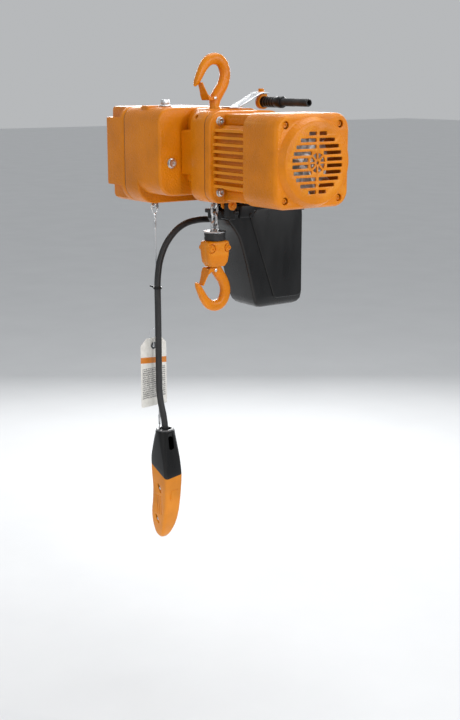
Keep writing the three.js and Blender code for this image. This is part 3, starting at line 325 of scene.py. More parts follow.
def tunnel(name, axis, profile, cu, cv, sides=48):
    """Turned ring whose profile closes on itself."""
    rings = [[on_axis(axis, u, v, station) for u, v in circle(cu, cv, radius, sides)]
             for radius, station in profile]
    return loft(name, rings, closed=True)


def spline(points, per_span=8):
    """Catmull-Rom curve through the points."""
    pts = [Vector(p) for p in points]
    pts = [pts[0] * 2 - pts[1]] + pts + [pts[-1] * 2 - pts[-2]]
    out = []
    for i in range(1, len(pts) - 2):
        for k in range(per_span):
            t = k / per_span
            a, b, c, d = pts[i - 1:i + 3]
            out.append(0.5 * ((2 * b) + (c - a) * t + (2 * a - 5 * b + 4 * c - d) * t * t
                              + (3 * b - a - 3 * c + d) * t ** 3))
    out.append(pts[-2])
    return out


def swept(name, path, radius, sides=16, closed=False):
    """Round tube along a path, with a frame carried along so that it never twists."""
    count = len(path)
    tangents = []
    for i in range(count):
        before, after = (path[i - 1], path[(i + 1) % count]) if closed else (
            path[max(i - 1, 0)], path[min(i + 1, count - 1)])
        tangents.append((after - before).normalized())
    side = tangents[0].orthogonal().normalized()
    rings = []
    for i, (at, along) in enumerate(zip(path, tangents)):
        side = (side - along * side.dot(along)).normalized()
        up = along.cross(side)
        r = radius(i / (count - 1)) if callable(radius) else radius
        ring = []
        for k in range(sides):
            a = 2 * math.pi * k / sides
            ring.append(at + side * (r * math.cos(a)) + up * (r * math.sin(a)))
        rings.append(ring)
    return loft(name, rings, closed=closed)


# ---------------------------------------------------------------- materials
def shader(name, colour, roughness, metallic=0.0, **sockets):
    material = bpy.data.materials.new(name)
    material.use_nodes = True
    principled = material.node_tree.nodes["Principled BSDF"]
    principled.inputs["Base Color"].default_value = (*colour, 1)
    principled.inputs["Roughness"].default_value = roughness
    principled.inputs["Metallic"].default_value = metallic
    for key, value in sockets.items():
        principled.inputs[key.replace("_", " ")].default_value = value
    return material, principled


def place(material, stretch=(1, 1, 1)):
    """Object coordinates in metres, stretched where a finish has a direction."""
    tree = material.node_tree
    source = tree.nodes.new("ShaderNodeTexCoord")
    mapping = tree.nodes.new("ShaderNodeMapping")
    mapping.inputs["Scale"].default_value = stretch
    tree.links.new(source.outputs["Object"], mapping.inputs["Vector"])
    return mapping.outputs["Vector"]


def noise(material, vector, scale, detail=3.0, rough=0.55):
    node = material.node_tree.nodes.new("ShaderNodeTexNoise")
    node.inputs["Scale"].default_value = scale
    node.inputs["Detail"].default_value = detail
    node.inputs["Roughness"].default_value = rough
    material.node_tree.links.new(vector, node.inputs["Vector"])
    return node.outputs["Fac"]


def ramp(material, factor, stops):
    """Colour ramp; each stop is (position, colour), and a plain number is a grey."""
    node = material.node_tree.nodes.new("ShaderNodeValToRGB")
    while len(node.color_ramp.elements) < len(stops):
        node.color_ramp.elements.new(0.5)
    for element, (position, colour) in zip(node.color_ramp.elements, stops):
        element.position = position
        grey = isinstance(colour, (int, float))
        element.color = (colour, colour, colour, 1) if grey else (*colour, 1)
    material.node_tree.links.new(factor, node.inputs["Fac"])
    return node.outputs["Color"]


def math_node(material, operation, a, b):
    node = material.node_tree.nodes.new("ShaderNodeMath")
    node.operation = operation
    for socket, value in zip(node.inputs, (a, b)):
        if isinstance(value, (int, float)):
            socket.default_value = value
        else:
            material.node_tree.links.new(value, socket)
    return node.outputs[0]


def mix(material, factor, a, b):
    node = material.node_tree.nodes.new("ShaderNodeMix")
    node.data_type = "RGBA"
    for socket, value in zip((node.inputs["Factor"], node.inputs[6], node.inputs[7]), (factor, a, b)):
        if hasattr(value, "links"):
            material.node_tree.links.new(value, socket)
        elif isinstance(value, (int, float)):
            socket.default_value = value
        else:
            socket.default_value = (*value, 1)
    return node.outputs[2]


def bump(material, principled, layers):
    """Chains bump layers, each (height, distance in mm, strength)."""
    normal = None
    for height, distance, strength in layers:
        node = material.node_tree.nodes.new("ShaderNodeBump")
        node.inputs["Distance"].default_value = distance * MM
        node.inputs["Strength"].default_value = strength
        material.node_tree.links.new(height, node.inputs["Height"])
        if normal is not None:
            material.node_tree.links.new(normal, node.inputs["Normal"])
        normal = node.outputs["Normal"]
    material.node_tree.links.new(normal, principled.inputs["Normal"])


def link(material, output, principled, socket):
    material.node_tree.links.new(output, principled.inputs[socket])


def edge_wear(material):
    """Mask that is 1 on worn convex edges."""
    geometry = material.node_tree.nodes.new("ShaderNodeNewGeometry")
    return ramp(material, geometry.outputs["Pointiness"], [(0.53, 0.0), (0.6, 1.0)])


def powder_coat(name="powder_coat", colour=(0.68, 0.205, 0.0), peel=1.0, roughness=0.34):
    """Thick glossy powder coat over rough castings: orange peel, faint cloudiness, paler edges."""
    material, principled = shader(name, colour, roughness, Coat_Weight=0.08,
                                  Coat_Roughness=0.18, Specular_IOR_Level=0.28)
    vector = place(material)
    cloud = noise(material, vector, 14, 3)
    speck = noise(material, vector, 240, 2)
    dark = tuple(c * 0.86 for c in colour)
    pale = (min(colour[0] * 1.1, 1), colour[1] * 1.14, colour[2] * 1.2)
    base = ramp(material, cloud, [(0.32, dark), (0.52, colour), (0.74, pale)])
    edges = edge_wear(material)
    base = mix(material, math_node(material, "MULTIPLY", edges, 0.35), base, (0.80, 0.32, 0.02))
    link(material, base, principled, "Base Color")
    link(material, ramp(material, speck, [(0.3, roughness - 0.08), (0.7, roughness + 0.12)]),
         principled, "Roughness")
    coarse = noise(material, vector, 230, 2, 0.5)
    fine = noise(material, vector, 420, 2, 0.5)
    bump(material, principled, [(coarse, 1.6 * peel, 0.9), (fine, 0.4, 0.25)])
    return material


def black_mould(name, colour=(0.004, 0.0042, 0.0046), roughness=0.3, grain=520, depth=0.25):
    """Moulded plastic: fine spark-erosion grain, faint flow marks and a soft sheen."""
    material, principled = shader(name, colour, roughness, Specular_IOR_Level=0.32)
    vector = place(material)
    flow = noise(material, place(material, (1, 1, 0.25)), 26, 3)
    grained = noise(material, vector, grain, 2)
    pale = tuple(c * 1.8 + 0.001 for c in colour)
    link(material, ramp(material, flow, [(0.35, colour), (0.75, pale)]), principled, "Base Color")
    link(material, ramp(material, flow, [(0.3, roughness - 0.07), (0.7, roughness + 0.1)]),
         principled, "Roughness")
    bump(material, principled, [(grained, depth, 0.35), (flow, 0.6, 0.08)])
    return material


def black_rubber(name):
    """Extruded rubber: matt, with faint draw marks and a dusty bloom."""
    material, principled = shader(name, (0.011, 0.011, 0.012), 0.52, Specular_IOR_Level=0.45)
    bloom = noise(material, place(material, (1, 1, 0.3)), 60, 4)
    grain = noise(material, place(material), 900, 2)
    link(material, ramp(material, bloom, [(0.38, (0.009, 0.009, 0.010)), (0.8, (0.035, 0.036, 0.038))]),
         principled, "Base Color")
    link(material, ramp(material, bloom, [(0.3, 0.42), (0.75, 0.62)]), principled, "Roughness")
    bump(material, principled, [(grain, 0.15, 0.3)])
    return material


def bare_metal(name, colour, roughness, stretch=(1, 1, 1), scale=160, spangle=0.0):
    """Plated or machined metal: tone patches, directional marks and dull spots in the gloss."""
    material, principled = shader(name, colour, roughness, 1.0)
    marks = noise(material, place(material, stretch), scale, 4, 0.6)
    patches = noise(material, place(material), 34, 3)
    dull = tuple(c * 0.62 for c in colour)
    bright = tuple(min(c * 1.25, 1) for c in colour)
    base = ramp(material, patches, [(0.3, dull), (0.5, colour), (0.72, bright)])
    if spangle:
        cells = material.node_tree.nodes.new("ShaderNodeTexVoronoi")
        cells.inputs["Scale"].default_value = 330
        material.node_tree.links.new(place(material), cells.inputs["Vector"])
        shade = ramp(material, cells.outputs["Color"], [(0.2, dull), (0.8, bright)])
        base = mix(material, spangle, base, shade)
    link(material, base, principled, "Base Color")
    link(material, ramp(material, marks, [(0.3, roughness - 0.1), (0.7, roughness + 0.16)]),
         principled, "Roughness")
    bump(material, principled, [(marks, 0.12, 0.3)])
    return material


def copper_winding():
    material, principled = shader("winding", (0.40, 0.12, 0.035), 0.38, 0.6)
    vector = place(material, (1, 1, 1))
    wires = noise(material, place(material, (5, 0.3, 0.3)), 150, 3)
    varnish = noise(material, vector, 40, 3)
    link(material, ramp(material, varnish, [(0.3, (0.26, 0.07, 0.02)), (0.7, (0.48, 0.17, 0.05))]),
         principled, "Base Color")
    link(material, ramp(material, varnish, [(0.3, 0.28), (0.7, 0.5)]), principled, "Roughness")
    bump(material, principled, [(wires, 0.6, 0.5)])
    return material


def circuit_board():
    material, principled = shader("board", (0.012, 0.09, 0.03), 0.45)
    cells = material.node_tree.nodes.new("ShaderNodeTexVoronoi")
    cells.inputs["Scale"].default_value = 130
    cells.distance = "CHEBYCHEV"
    material.node_tree.links.new(place(material), cells.inputs["Vector"])
    base = ramp(material, cells.outputs["Distance"], [(0.1, (0.25, 0.2, 0.06)), (0.22, (0.012, 0.09, 0.03)),
                                                      (0.6, (0.008, 0.05, 0.02))])
    link(material, base, principled, "Base Color")
    link(material, ramp(material, cells.outputs["Distance"], [(0.1, 0.3), (0.5, 0.6)]),
         principled, "Roughness")
    bump(material, principled, [(cells.outputs["Distance"], 0.3, 0.3)])
    return material


def floor_material():
    material, principled = shader("floor_paint", (0.74, 0.75, 0.76), 0.8)
    vector = place(material)
    cloud = noise(material, vector, 3, 4)
    link(material, ramp(material, cloud, [(0.3, (0.73, 0.74, 0.75)), (0.7, (0.76, 0.77, 0.78))]),
         principled, "Base Color")
    bump(material, principled, [(noise(material, vector, 90, 3), 0.1, 0.05)])
    return material


def tag_material():
    """Laminated card: an orange strip, rows of dark marks that spell nothing, and a worn gloss."""
    material, principled = shader("tag_card", (0.80, 0.79, 0.75), 0.42, Coat_Weight=0.3, Coat_Roughness=0.2)
    vector = place(material)
    split = material.node_tree.nodes.new("ShaderNodeSeparateXYZ")
    material.node_tree.links.new(vector, split.inputs["Vector"])
    up, across = split.outputs["Z"], split.outputs["Y"]

    def calc(operation, a, b):
        return math_node(material, operation, a, b)

    def band(value, low, high):
        return calc("MULTIPLY", calc("GREATER_THAN", value, low), calc("LESS_THAN", value, high))
    strip = band(calc("ADD", up, calc("MULTIPLY", across, 0.1)), -0.689, -0.675)
    marks = noise(material, place(material, (1, 1, 1.5)), 640, 2, 0.6)
    ink = ramp(material, marks, [(0.44, 0.0), (0.50, 0.92)])
    field = calc("MULTIPLY", band(up, -0.766, -0.692), band(across, -0.113, -0.044))
    rows = calc("GREATER_THAN", calc("SINE", calc("MULTIPLY", up, 1250), 0), -0.6)
    printed = calc("MULTIPLY", calc("MULTIPLY", ink, field), rows)
    paper = ramp(material, noise(material, vector, 120, 4),
                 [(0.3, (0.74, 0.73, 0.68)), (0.7, (0.84, 0.83, 0.79))])
    colour = mix(material, printed, paper, (0.06, 0.06, 0.065))
    colour = mix(material, strip, colour, (0.66, 0.21, 0.02))
    link(material, colour, principled, "Base Color")
    link(material, ramp(material, noise(material, vector, 60, 3), [(0.3, 0.32), (0.7, 0.55)]),
         principled, "Roughness")
    bump(material, principled, [(noise(material, vector, 80, 3), 0.5, 0.15)])
    return material


# Each look is a material and the slot that it fills.
ORANGE = (powder_coat(), "paint")
FORGED = (powder_coat("powder_coat_forged", peel=0.6, roughness=0.3), "paint")
MOULDED = (black_mould("black_mould"), "black_plastic")
HANDLE_ORANGE = (powder_coat("handle_orange", (0.72, 0.245, 0.014), peel=0.25, roughness=0.42), "paint")
HANDLE_BLACK = (black_mould("handle_black", roughness=0.3, grain=700, depth=0.12), "black_plastic")
RUBBER = (black_rubber("rubber"), "rubber")
ZINC = (bare_metal("zinc_plate", (0.68, 0.70, 0.72), 0.32), "zinc")
GALVANISED = (bare_metal("galvanised_chain", (0.66, 0.67, 0.68), 0.36, spangle=0.5), "zinc")
STEEL = (bare_metal("machined_steel", (0.50, 0.51, 0.53), 0.28, (0.2, 3, 3), 260), "steel")
ALLOY = (bare_metal("cast_alloy", (0.88, 0.89, 0.90), 0.42, scale=240), "cast_alloy")
WINDING = (copper_winding(), "copper")
BOARD = (circuit_board(), "board")
CABLE_RUBBER = (black_rubber("cable_rubber"), "rubber")
# The rim's own grey, made lighter so that it carries a painted highlight along the rim.
RIM_GREY_PAINTED_HIGHLIGHT = (black_mould("rim_grey", (0.11, 0.112, 0.116), 0.26), "rubber")
EYELET_STEEL = (bare_metal("eyelet_steel", (0.15, 0.155, 0.16), 0.36), "zinc")
TAG_CARD = (tag_material(), "card")
KEPT_LOOKS = {slot: material for material, slot in
              (ORANGE, MOULDED, RUBBER, ZINC, STEEL, ALLOY, WINDING, BOARD)}


# ---------------------------------------------------------------- castings
def case_outline(bottom, bottom_r, inset=0.0):
    front, back = CASE.y0 + inset, CASE.y1 - inset
    radii = [max(r - inset, 3) for r in (bottom_r, CASE_TOP_R, CASE_TOP_R, CASE_TOP_R)]
    return rounded(front, back, bottom + inset, CASE_TOP - inset, radii, 14)


def end_cover():
    """Control cover: a rounded shell whose front corners step back, with a wide middle band."""
    shell = prism("control_cover", "x", case_outline(END.z0, CASE_BOTTOM_R), END.x0, END.x1, 9, 5)
    cut(shell, prism("hollow", "x", case_outline(END.z0, CASE_BOTTOM_R, 30), END.x0 + 8, END.x1 + 5))
    for low, high in ((CASE_TOP - 24.5, CASE_TOP + 9), (END.z0 - 9, END.z0 + 38)):
        cut(shell, slab("notch", END.x0 - 9, END.x0 + 65, END.y0 - 9, END.y0 + 21, low, high, 4, 4))
    soften(shell, 1.2, 3)
    finish(shell, "housing", ORANGE, ["end_cover"])


def gear_case():
    """Gear case: the low section by the cover, and the higher one that carries the level plug."""
    low = prism("gear_case_shell", "x", case_outline(CASE.z0, CASE_BOTTOM_R), CASE.x0, CASE_STEP_X, 3.5, 4)
    high = prism("high", "x", case_outline(CASE_HIGH, 38), CASE_STEP_X - 20, CASE.x1, 6, 5)
    join(low, high)
    cut(low, prism("hollow_low", "x", case_outline(CASE.z0, CASE_BOTTOM_R, 8), CASE.x0 - 5, CASE_STEP_X - 8),
        prism("hollow_high", "x", case_outline(CASE_HIGH, 38, 8), CASE_STEP_X - 30, CASE.x1 - 8),
        rod("bore", "x", 18, CASE.x1 - 15, CASE.x1 + 5, AXIS_Y, AXIS_Z))
    lug = slab("lug", -128, -100, CASE.y0 + 13, CASE.y0 + 45, CASE_TOP - 10, CASE_TOP + 3.4, 3.2, 4)
    rim = [(15.5, CASE_TOP - 3), (15.5, CASE_TOP + 0.8), (14.8, CASE_TOP + 1.5)]
    join(low, lug, turned("pad", "z", rim, PLUG.x, PLUG.y))
    cut(low, rod("plug_bore", "z", 8.4, CASE_TOP - 20, CASE_TOP + 10, PLUG.x, PLUG.y))
    soften(low, 0.9, 2)
    finish(low, "housing", ORANGE, ["gear_case"])


def flange_outline(inset=0.0):
    h, r = FLANGE_HALF - inset, FLANGE_R - inset
    return rounded(AXIS_Y - h, AXIS_Y + h, AXIS_Z - h, AXIS_Z + h, [r] * 4, 14)


def bucket_pin_bore():
    return rod("pin_bore", "x", 4.3, 10, 60, *BUCKET_PIN, 24)


def frame_casting():
    """Load wheel housing: the neck the hook stands on, its front boss and the square flange."""
    start, top = FRAME.x0, AXIS_Z + FLANGE_HALF + 4
    body = prism("wheel_housing", "x", rounded(-48, 112, CASE_HIGH + 2, top, [30] * 4, 12),
                 start, NECK_END_X + 10, 2, 2)
    boss = prism("boss", "x", rounded(-66.7, 40, -235, -138, [7] * 4, 6), start, NECK_END_X + 10, 4, 4)
    step = prism("step", "x", rounded(-60, 40, -250, -228, [8] * 4, 6), start + 14, NECK_END_X + 8, 3, 3)
    flange = prism("flange", "x", flange_outline(), NECK_END_X, FRAME_END_X, 3.5, 4)
    join(body, boss, step, flange)
    for x in (20, 48):
        ear = [(9.3, x), (10.5, x + 1.2), (10.5, x + 3.8), (9.3, x + 5)]
        join(body, turned("ear", "x", ear, *BUCKET_PIN, 40),
             slab("web", x, x + 5, BUCKET_PIN[0] - 9, BUCKET_PIN[0] + 9, BUCKET_PIN[1], CASE_HIGH, 0.8))
    cut(body,
        slab("chamber", -17, 17, AXIS_Y - 40, AXIS_Y + 40, -320, AXIS_Z + 42),
        rod("bearing_bore", "x", 26.3, start - 5, 40, AXIS_Y, AXIS_Z),
        rod("shaft_bore", "x", 13, 30, FRAME_END_X + 5, AXIS_Y, AXIS_Z),
        rod("hook_bore", "z", 15.3, -140, top + 5, 0, 0),
        rod("nut_room", "z", 20.5, -153, -118, 0, 0),
        rod("sight_hole", "y", 5, FLANGE_FRONT - 5, FLANGE_FRONT + 60, -110, 27, 24),
        bucket_pin_bore())
    soften(body, 0.9, 2)
    finish(body, "housing", ORANGE, ["frame"])


def motor_housing():
    """Finned motor housing: nine cooling fins on each side, and flat bosses above and below."""
    start, end = MOTOR.x0, MOTOR.x1
    body = prism("motor_shell", "x", flange_outline(), start, FINS_X, 3.5, 4)
    core = rounded(AXIS_Y - CORE_Y, AXIS_Y + CORE_Y, AXIS_Z - CORE_Z, AXIS_Z + CORE_Z, [26] * 4, 10)
    join(body, prism("core", "x", core, FINS_X - 5, end))
    middle = (FIN_COUNT - 1) / 2
    for i in range(FIN_COUNT):
        z = AXIS_Z + (i - middle) * FIN_PITCH
        reach = 88 - 0.6 * abs(i - middle)
        outline = [(AXIS_Y - reach, z - 3), (AXIS_Y, z - 4.6), (AXIS_Y + reach, z - 3),
                   (AXIS_Y + reach, z + 3), (AXIS_Y, z + 4.6), (AXIS_Y - reach, z + 3)]
        join(body, prism("fin", "x", outline, FINS_X - 3, end, 0))
    for side in (-1, 1):
        z = AXIS_Z + side * 80
        join(body, slab("boss", FINS_X - 4, end, AXIS_Y - 58, AXIS_Y + 58, z - 12, z + 12, 5, 4))
    cut(body, rod("bore", "x", 62, FINS_X - 8, end + 5, AXIS_Y, AXIS_Z, 72),
        rod("shaft_bore", "x", 20.3, start - 5, end, AXIS_Y, AXIS_Z))
    soften(body, 0.8, 2)
    finish(body, "housing", ORANGE, ["motor_housing"])


def cover_outline(inset):
    radius = max(32 - inset * 0.5, 8)
    return rounded(COVER.y0 + inset, COVER.y1 - inset, COVER.z0 + inset, COVER.z1 - inset, [radius] * 4, 14)


def cover_rings(stations):
    return [[(x, y, z) for y, z in cover_outline(inset)] for inset, x in stations]


def fan_cover():
    """Fan cover: a square shell with soft edges whose end swells into a round ring and a grille."""
    start, face, wall = COVER.x0, COVER.x1, 4
    shell = loft("fan_shell", cover_rings([(0, start), (0, 296), (0.8, 301), (2.6, 305), (6, FAN_FACE_X)]))
    swell = [(92, FAN_FACE_X - 6), (91.5, FAN_FACE_X - 2), (84, face - 2.4), (82.4, face - 0.6), (81, face)]
    join(shell, turned("swell", "x", swell, AXIS_Y, AXIS_Z, 120))
    hollow = loft("hollow", cover_rings([(wall, start - 5), (wall, 292), (wall + 8, FAN_FACE_X - wall)]))
    cut(shell, hollow, rod("bell", "x", 78, 290, face - wall, AXIS_Y, AXIS_Z, 96))
    cut(shell, grille_slots(face), hub_windows(face))
    for y, z in cover_bolts():
        pocket = [(6.6, FAN_FACE_X - 7), (7.6, FAN_FACE_X - 4), (8.6, FAN_FACE_X + 8)]
        cut(shell, turned("recess", "x", pocket, y, z, 32))
    soften(shell, 0.7, 2)
    finish(shell, "housing", ORANGE, ["fan_cover"])


def cover_bolts():
    return [(y, z) for y in (AXIS_Y - 71, AXIS_Y + 70) for z in (AXIS_Z - 74, AXIS_Z + 75)]


def grille_slots(face):
    """Ten rows of slots, cut off by the grille's circle, the middle bar and the hub."""
    rows = None
    for i in range(10):
        z = AXIS_Z + (i - 4.5) * SLOT_PITCH
        half = math.sqrt(GRILLE_R ** 2 - (abs(z - AXIS_Z) + SLOT_HEIGHT / 2) ** 2)
        gap = math.sqrt(max(HUB_R ** 2 - (z - AXIS_Z) ** 2, 0)) + 1 if abs(z - AXIS_Z) < HUB_R else 3.4
        for side in (-1, 1):
            y0, y1 = sorted((AXIS_Y + side * gap, AXIS_Y + side * half))
            outline = rounded(y0, y1, z - SLOT_HEIGHT / 2, z + SLOT_HEIGHT / 2, [1.6] * 4, 3)
            slot = prism("slot", "x", outline, face - 9, face + 5)
            rows = slot if rows is None else gather(rows, slot)
    return rows


def hub_windows(face):
    windows = rod("axle_hole", "x", 3.2, face - 9, face + 5, AXIS_Y, AXIS_Z, 20)
    for i in range(8):
        turn = 45 * (i + 0.5)
        outline = arc(AXIS_Y, AXIS_Z, 19.5, turn - 17, turn + 17, 6)
        outline += arc(AXIS_Y, AXIS_Z, 8, turn + 8, turn - 8, 2)
        windows = gather(windows, prism("window", "x", outline, face - 9, face + 5))
    return windows


def hex_ring(r, y, z, x):
    """Ring of points along a hexagon, so that it can be skinned to a circle of as many."""
    points = []
    for u, v in circle(0, 0, 1, 24):
        a = math.atan2(v, u)
        reach = r * math.cos(math.radians(30)) / math.cos((a % math.radians(60)) - math.radians(30))
        points.append((x, y + reach * math.cos(a), z + reach * math.sin(a)))
    return points


def socket_bolt(name, x, y, z, r, height):
    """Socket head seen from +X: a plain rim, a chamfer and a hexagon recess."""
    def flat(radius, dx):
        return [(x + dx, u, v) for u, v in circle(y, z, radius, 24)]
    rings = [flat(r, 0), flat(r, height - 1.2), flat(r - 1.1, height), flat(r * 0.62, height)]
    rings += [hex_ring(r * 0.52, y, z, x + height - 0.3), hex_ring(r * 0.5, y, z, x + 1.5)]
    return loft(name, rings)


def fasteners():
    bolts = None
    for y in (AXIS_Y - 71, AXIS_Y + 71):
        for z in (AXIS_Z - 73, AXIS_Z + 77):
            rim = [(9.2, FINS_X + 0.2), (9.2, FINS_X + 1.6), (8.8, FINS_X + 2)]
            washer = turned("washer", "x", rim, y, z, 32)
            head = socket_bolt("head", FINS_X + 2.1, y, z, 7.2, 6.5)
            bolts = gather(bolts, washer, head) if bolts else gather(washer, head)
    bolts.name = "motor_flange_bolts"
    finish(bolts, "housing", ZINC)
    caps = None
    for y, z in cover_bolts():
        head = socket_bolt("head", FAN_FACE_X - 6.8, y, z, 5.6, 3.4)
        caps = gather(caps, head) if caps else head
    caps.name = "fan_cover_bolts"
    finish(caps, "housing", FORGED)
    rim = [(11.4, CASE.x1 + 0.3), (11.4, CASE.x1 + 1.4), (11, CASE.x1 + 1.8)]
    plug = turned("oil_level_plug", "x", rim, *LEVEL_PLUG, 40)
    gather(plug, socket_bolt("plug", CASE.x1 + 1.9, *LEVEL_PLUG, 10.2, 3.4))
    finish(plug, "housing", ZINC)


def gaskets():
    """Dark gaskets in the joints of the control cover and of the motor flange."""
    outer = prism("cover_gasket", "x", case_outline(END.z0, CASE_BOTTOM_R, 1.3), END.x1 - 0.6, CASE.x0 + 1.2)
    cut(outer, prism("open", "x", case_outline(END.z0, CASE_BOTTOM_R, 7), END.x1 - 5, CASE.x0 + 5))
    ring = prism("flange_gasket", "x", flange_outline(inset=1.3), FRAME_END_X - 0.6, MOTOR.x0 + 0.6)
    cut(ring, prism("open", "x", flange_outline(inset=12), FRAME_END_X - 5, MOTOR.x0 + 5))
    for item in (outer, ring):
        finish(item, "housing", RUBBER)


def oil_plug():
    rim = [(13, PLUG.z0 + 9.8), (14, PLUG.z0 + 10.5), (14, PLUG.z0 + 12), (13, PLUG.z0 + 12.8)]
    washer = turned("oil_filler_plug", "z", rim, PLUG.x, PLUG.y)
    outline = polygon(PLUG.x, PLUG.y, 10, 6, 10)
    hexagon = prism("hexagon", "z", outline, CASE_TOP + 5, PLUG.z1 - 0.4, 0.9, 2)
    thread = rod("thread", "z", 7.8, PLUG.z0, CASE_TOP + 3, PLUG.x, PLUG.y, 32)
    gather(washer, hexagon, thread)
    finish(washer, "housing", ZINC, ["oil_plug"])


def fan():
    """Cast cooling fan: a dished disc, nine raked blades and a hub."""
    box = Box("fan")
    hub = turned("fan_wheel", "x", [(18, box.x0), (18, box.x0 + 20), (15, box.x0 + 22), (9.4, box.x0 + 22)],
                 AXIS_Y, AXIS_Z)
    cut(hub, rod("bore", "x", 9.3, box.x0 - 5, box.x0 + 40, AXIS_Y, AXIS_Z, 32))
    dish = [(12, 0), (66, 0), (70, 3), (70, 4.6), (64, 3), (12, 3)]
    gather(hub, tunnel("disc", "x", [(r, box.x0 + x) for r, x in dish], AXIS_Y, AXIS_Z, 72))
    for i in range(9):
        turn = Matrix.Rotation(math.radians(40 * i), 4, "X")
        outline = [(15, box.x0 + 1), (69, box.x0 + 1), (69, box.x1), (40, box.x1), (15, box.x1 - 6)]
        blade = prism("blade", "y", outline, -1.3, 1.3, 0.5, 2)
        # An outline on the Y axis is (X, Z) here, so the blade stands up along Z before it is turned.
        for vertex in blade.data.vertices:
            x, y, z = vertex.co
            raked = Vector((x, y + 0.006 * (z / 0.069 - 0.3), z))
            vertex.co = turn @ raked + Vector((0, AXIS_Y, AXIS_Z)) * MM
        gather(hub, blade)
    finish(hub, "motor", ALLOY, ["fan"])


# ---------------------------------------------------------------- chain
def chain_link(at, turn_z=0.0, turn_x=0.0):
    """One racetrack link, long along Z and wide along X, then turned and moved into place."""
    r = (LINK_WIDTH - LINK_WIRE) / 2
    straight = (LINK_PITCH + LINK_WIRE) / 2 - r
    path = []
    for z, start in ((straight, 0), (-straight, 180)):
        path += [Vector((u, 0, v)) for u, v in arc(0, z, r, start, start + 180, 12)]
    item = swept("link", path, LINK_WIRE / 2, 12, closed=True)
    turn = Matrix.Rotation(math.radians(turn_x), 4, "X") @ Matrix.Rotation(math.radians(turn_z), 4, "Z")
    item.data.transform(Matrix.Translation(Vector(at) * MM) @ turn)
    return item


def hanging_chain(name, y, top, count, first_upright, body, node):
    links = []
    for i in range(count):
        upright = (i % 2 == 0) == first_upright
        links.append(chain_link((0, y, top - (i + 0.5) * LINK_PITCH), 90 if upright else 0))
    gather(*links)
    links[0].name = name
    finish(links[0], body, GALVANISED, [node])


def chain_round_wheel():
    step = math.pi / 4
    radius = LINK_PITCH / (2 * math.sin(step / 2)) * math.cos(step / 2)
    links = []
    for i in range(4):
        a = (i + 0.5) * step
        at = (0, AXIS_Y + radius * math.cos(a), AXIS_Z + radius * math.sin(a))
        links.append(chain_link(at, 90 if i % 2 == 0 else 0, math.degrees(a)))
    gather(*links)
    links[0].name = "wheel_chain_links"
    finish(links[0], "wheel", GALVANISED, ["chain_wrap"])


def chain_heap():
    heap = Box("chain_heap")
    links = []
    for layer, (count, r) in enumerate(((9, 26), (5, 12))):
        for i in range(count):
            a = 2 * math.pi * i / count
            height = HEAP_Z + 4 * layer + (3 if i % 2 else 0)
            at = (heap.x + r * math.cos(a), heap.y + r * math.sin(a), height)
            item = chain_link((0, 0, 0), 0, 90)
            turn = Matrix.Rotation(a, 4, "Z") @ Matrix.Rotation(math.radians(50 if i % 2 else -12), 4, "Y")
            item.data.transform(Matrix.Translation(Vector(at) * MM) @ turn)
            links.append(item)
    gather(*links)
    links[0].name = "slack_heap_links"
    finish(links[0], "housing", GALVANISED, ["chain_heap"])


# ---------------------------------------------------------------- hooks
# Centre line from the neck round to the tip: (y, z, half thickness across the bend, half width).
HOOK_LINE = [
    (0, -84, 11, 11), (2, -73, 12.5, 10.5), (11, -59, 12.5, 10), (22, -43, 12, 10), (28, -24, 12, 10),
    (25, -5, 12, 10), (15, 8, 12.2, 10), (0, 12.4, 12.4, 10), (-16, 8, 11.4, 9.5), (-29, -5, 9.6, 9),
    (-39, -22, 8, 8), (-47, -37, 6, 7), (-52, -45, 2.5, 3),
]


def hook(name, saddle, flip, shank_end, body, node):
    """Forged hook: an oval section along the line, full in the crown and slim at the tip."""
    def height(z):
        return saddle - z if flip else saddle + z
    path = spline([(0, y, height(z)) for y, z, t, w in HOOK_LINE], 8)
    sizes = spline([(t, w, 0) for y, z, t, w in HOOK_LINE], 8)
    rings = []
    for i, (at, size) in enumerate(zip(path, sizes)):
        along = (path[min(i + 1, len(path) - 1)] - path[max(i - 1, 0)]).normalized()
        across = Vector((0, -along.z, along.y))
        ring = []
        for k in range(28):
            a = 2 * math.pi * k / 28
            c, s = math.cos(a), math.sin(a)
            u = size.x * math.copysign(abs(c) ** 0.86, c)
            v = size.y * math.copysign(abs(s) ** 0.78, s)
            ring.append(at + across * u + Vector((v, 0, 0)))
        rings.append(ring)
    body_mesh = loft(name, rings)
    neck = height(-84)
    low, high = sorted((neck - 6 if flip else neck + 6, shank_end))
    profile = [(10.2, low), (11, low + 0.8), (11, high - 0.8), (10.2, high)]
    join(body_mesh, turned("shank", "z", profile, 0, 0, 36))
    pivot = pivot_height(saddle, flip)
    cut(body_mesh, rod("pin_bore", "x", 2.4, -30, 30, LATCH_PIVOT[0], pivot, 20))
    soften(body_mesh, 0.7, 2, 40)
    finish(body_mesh, body, FORGED, [node], 50)


def pivot_height(saddle, flip):
    return saddle - LATCH_PIVOT[1] if flip else saddle + LATCH_PIVOT[1]


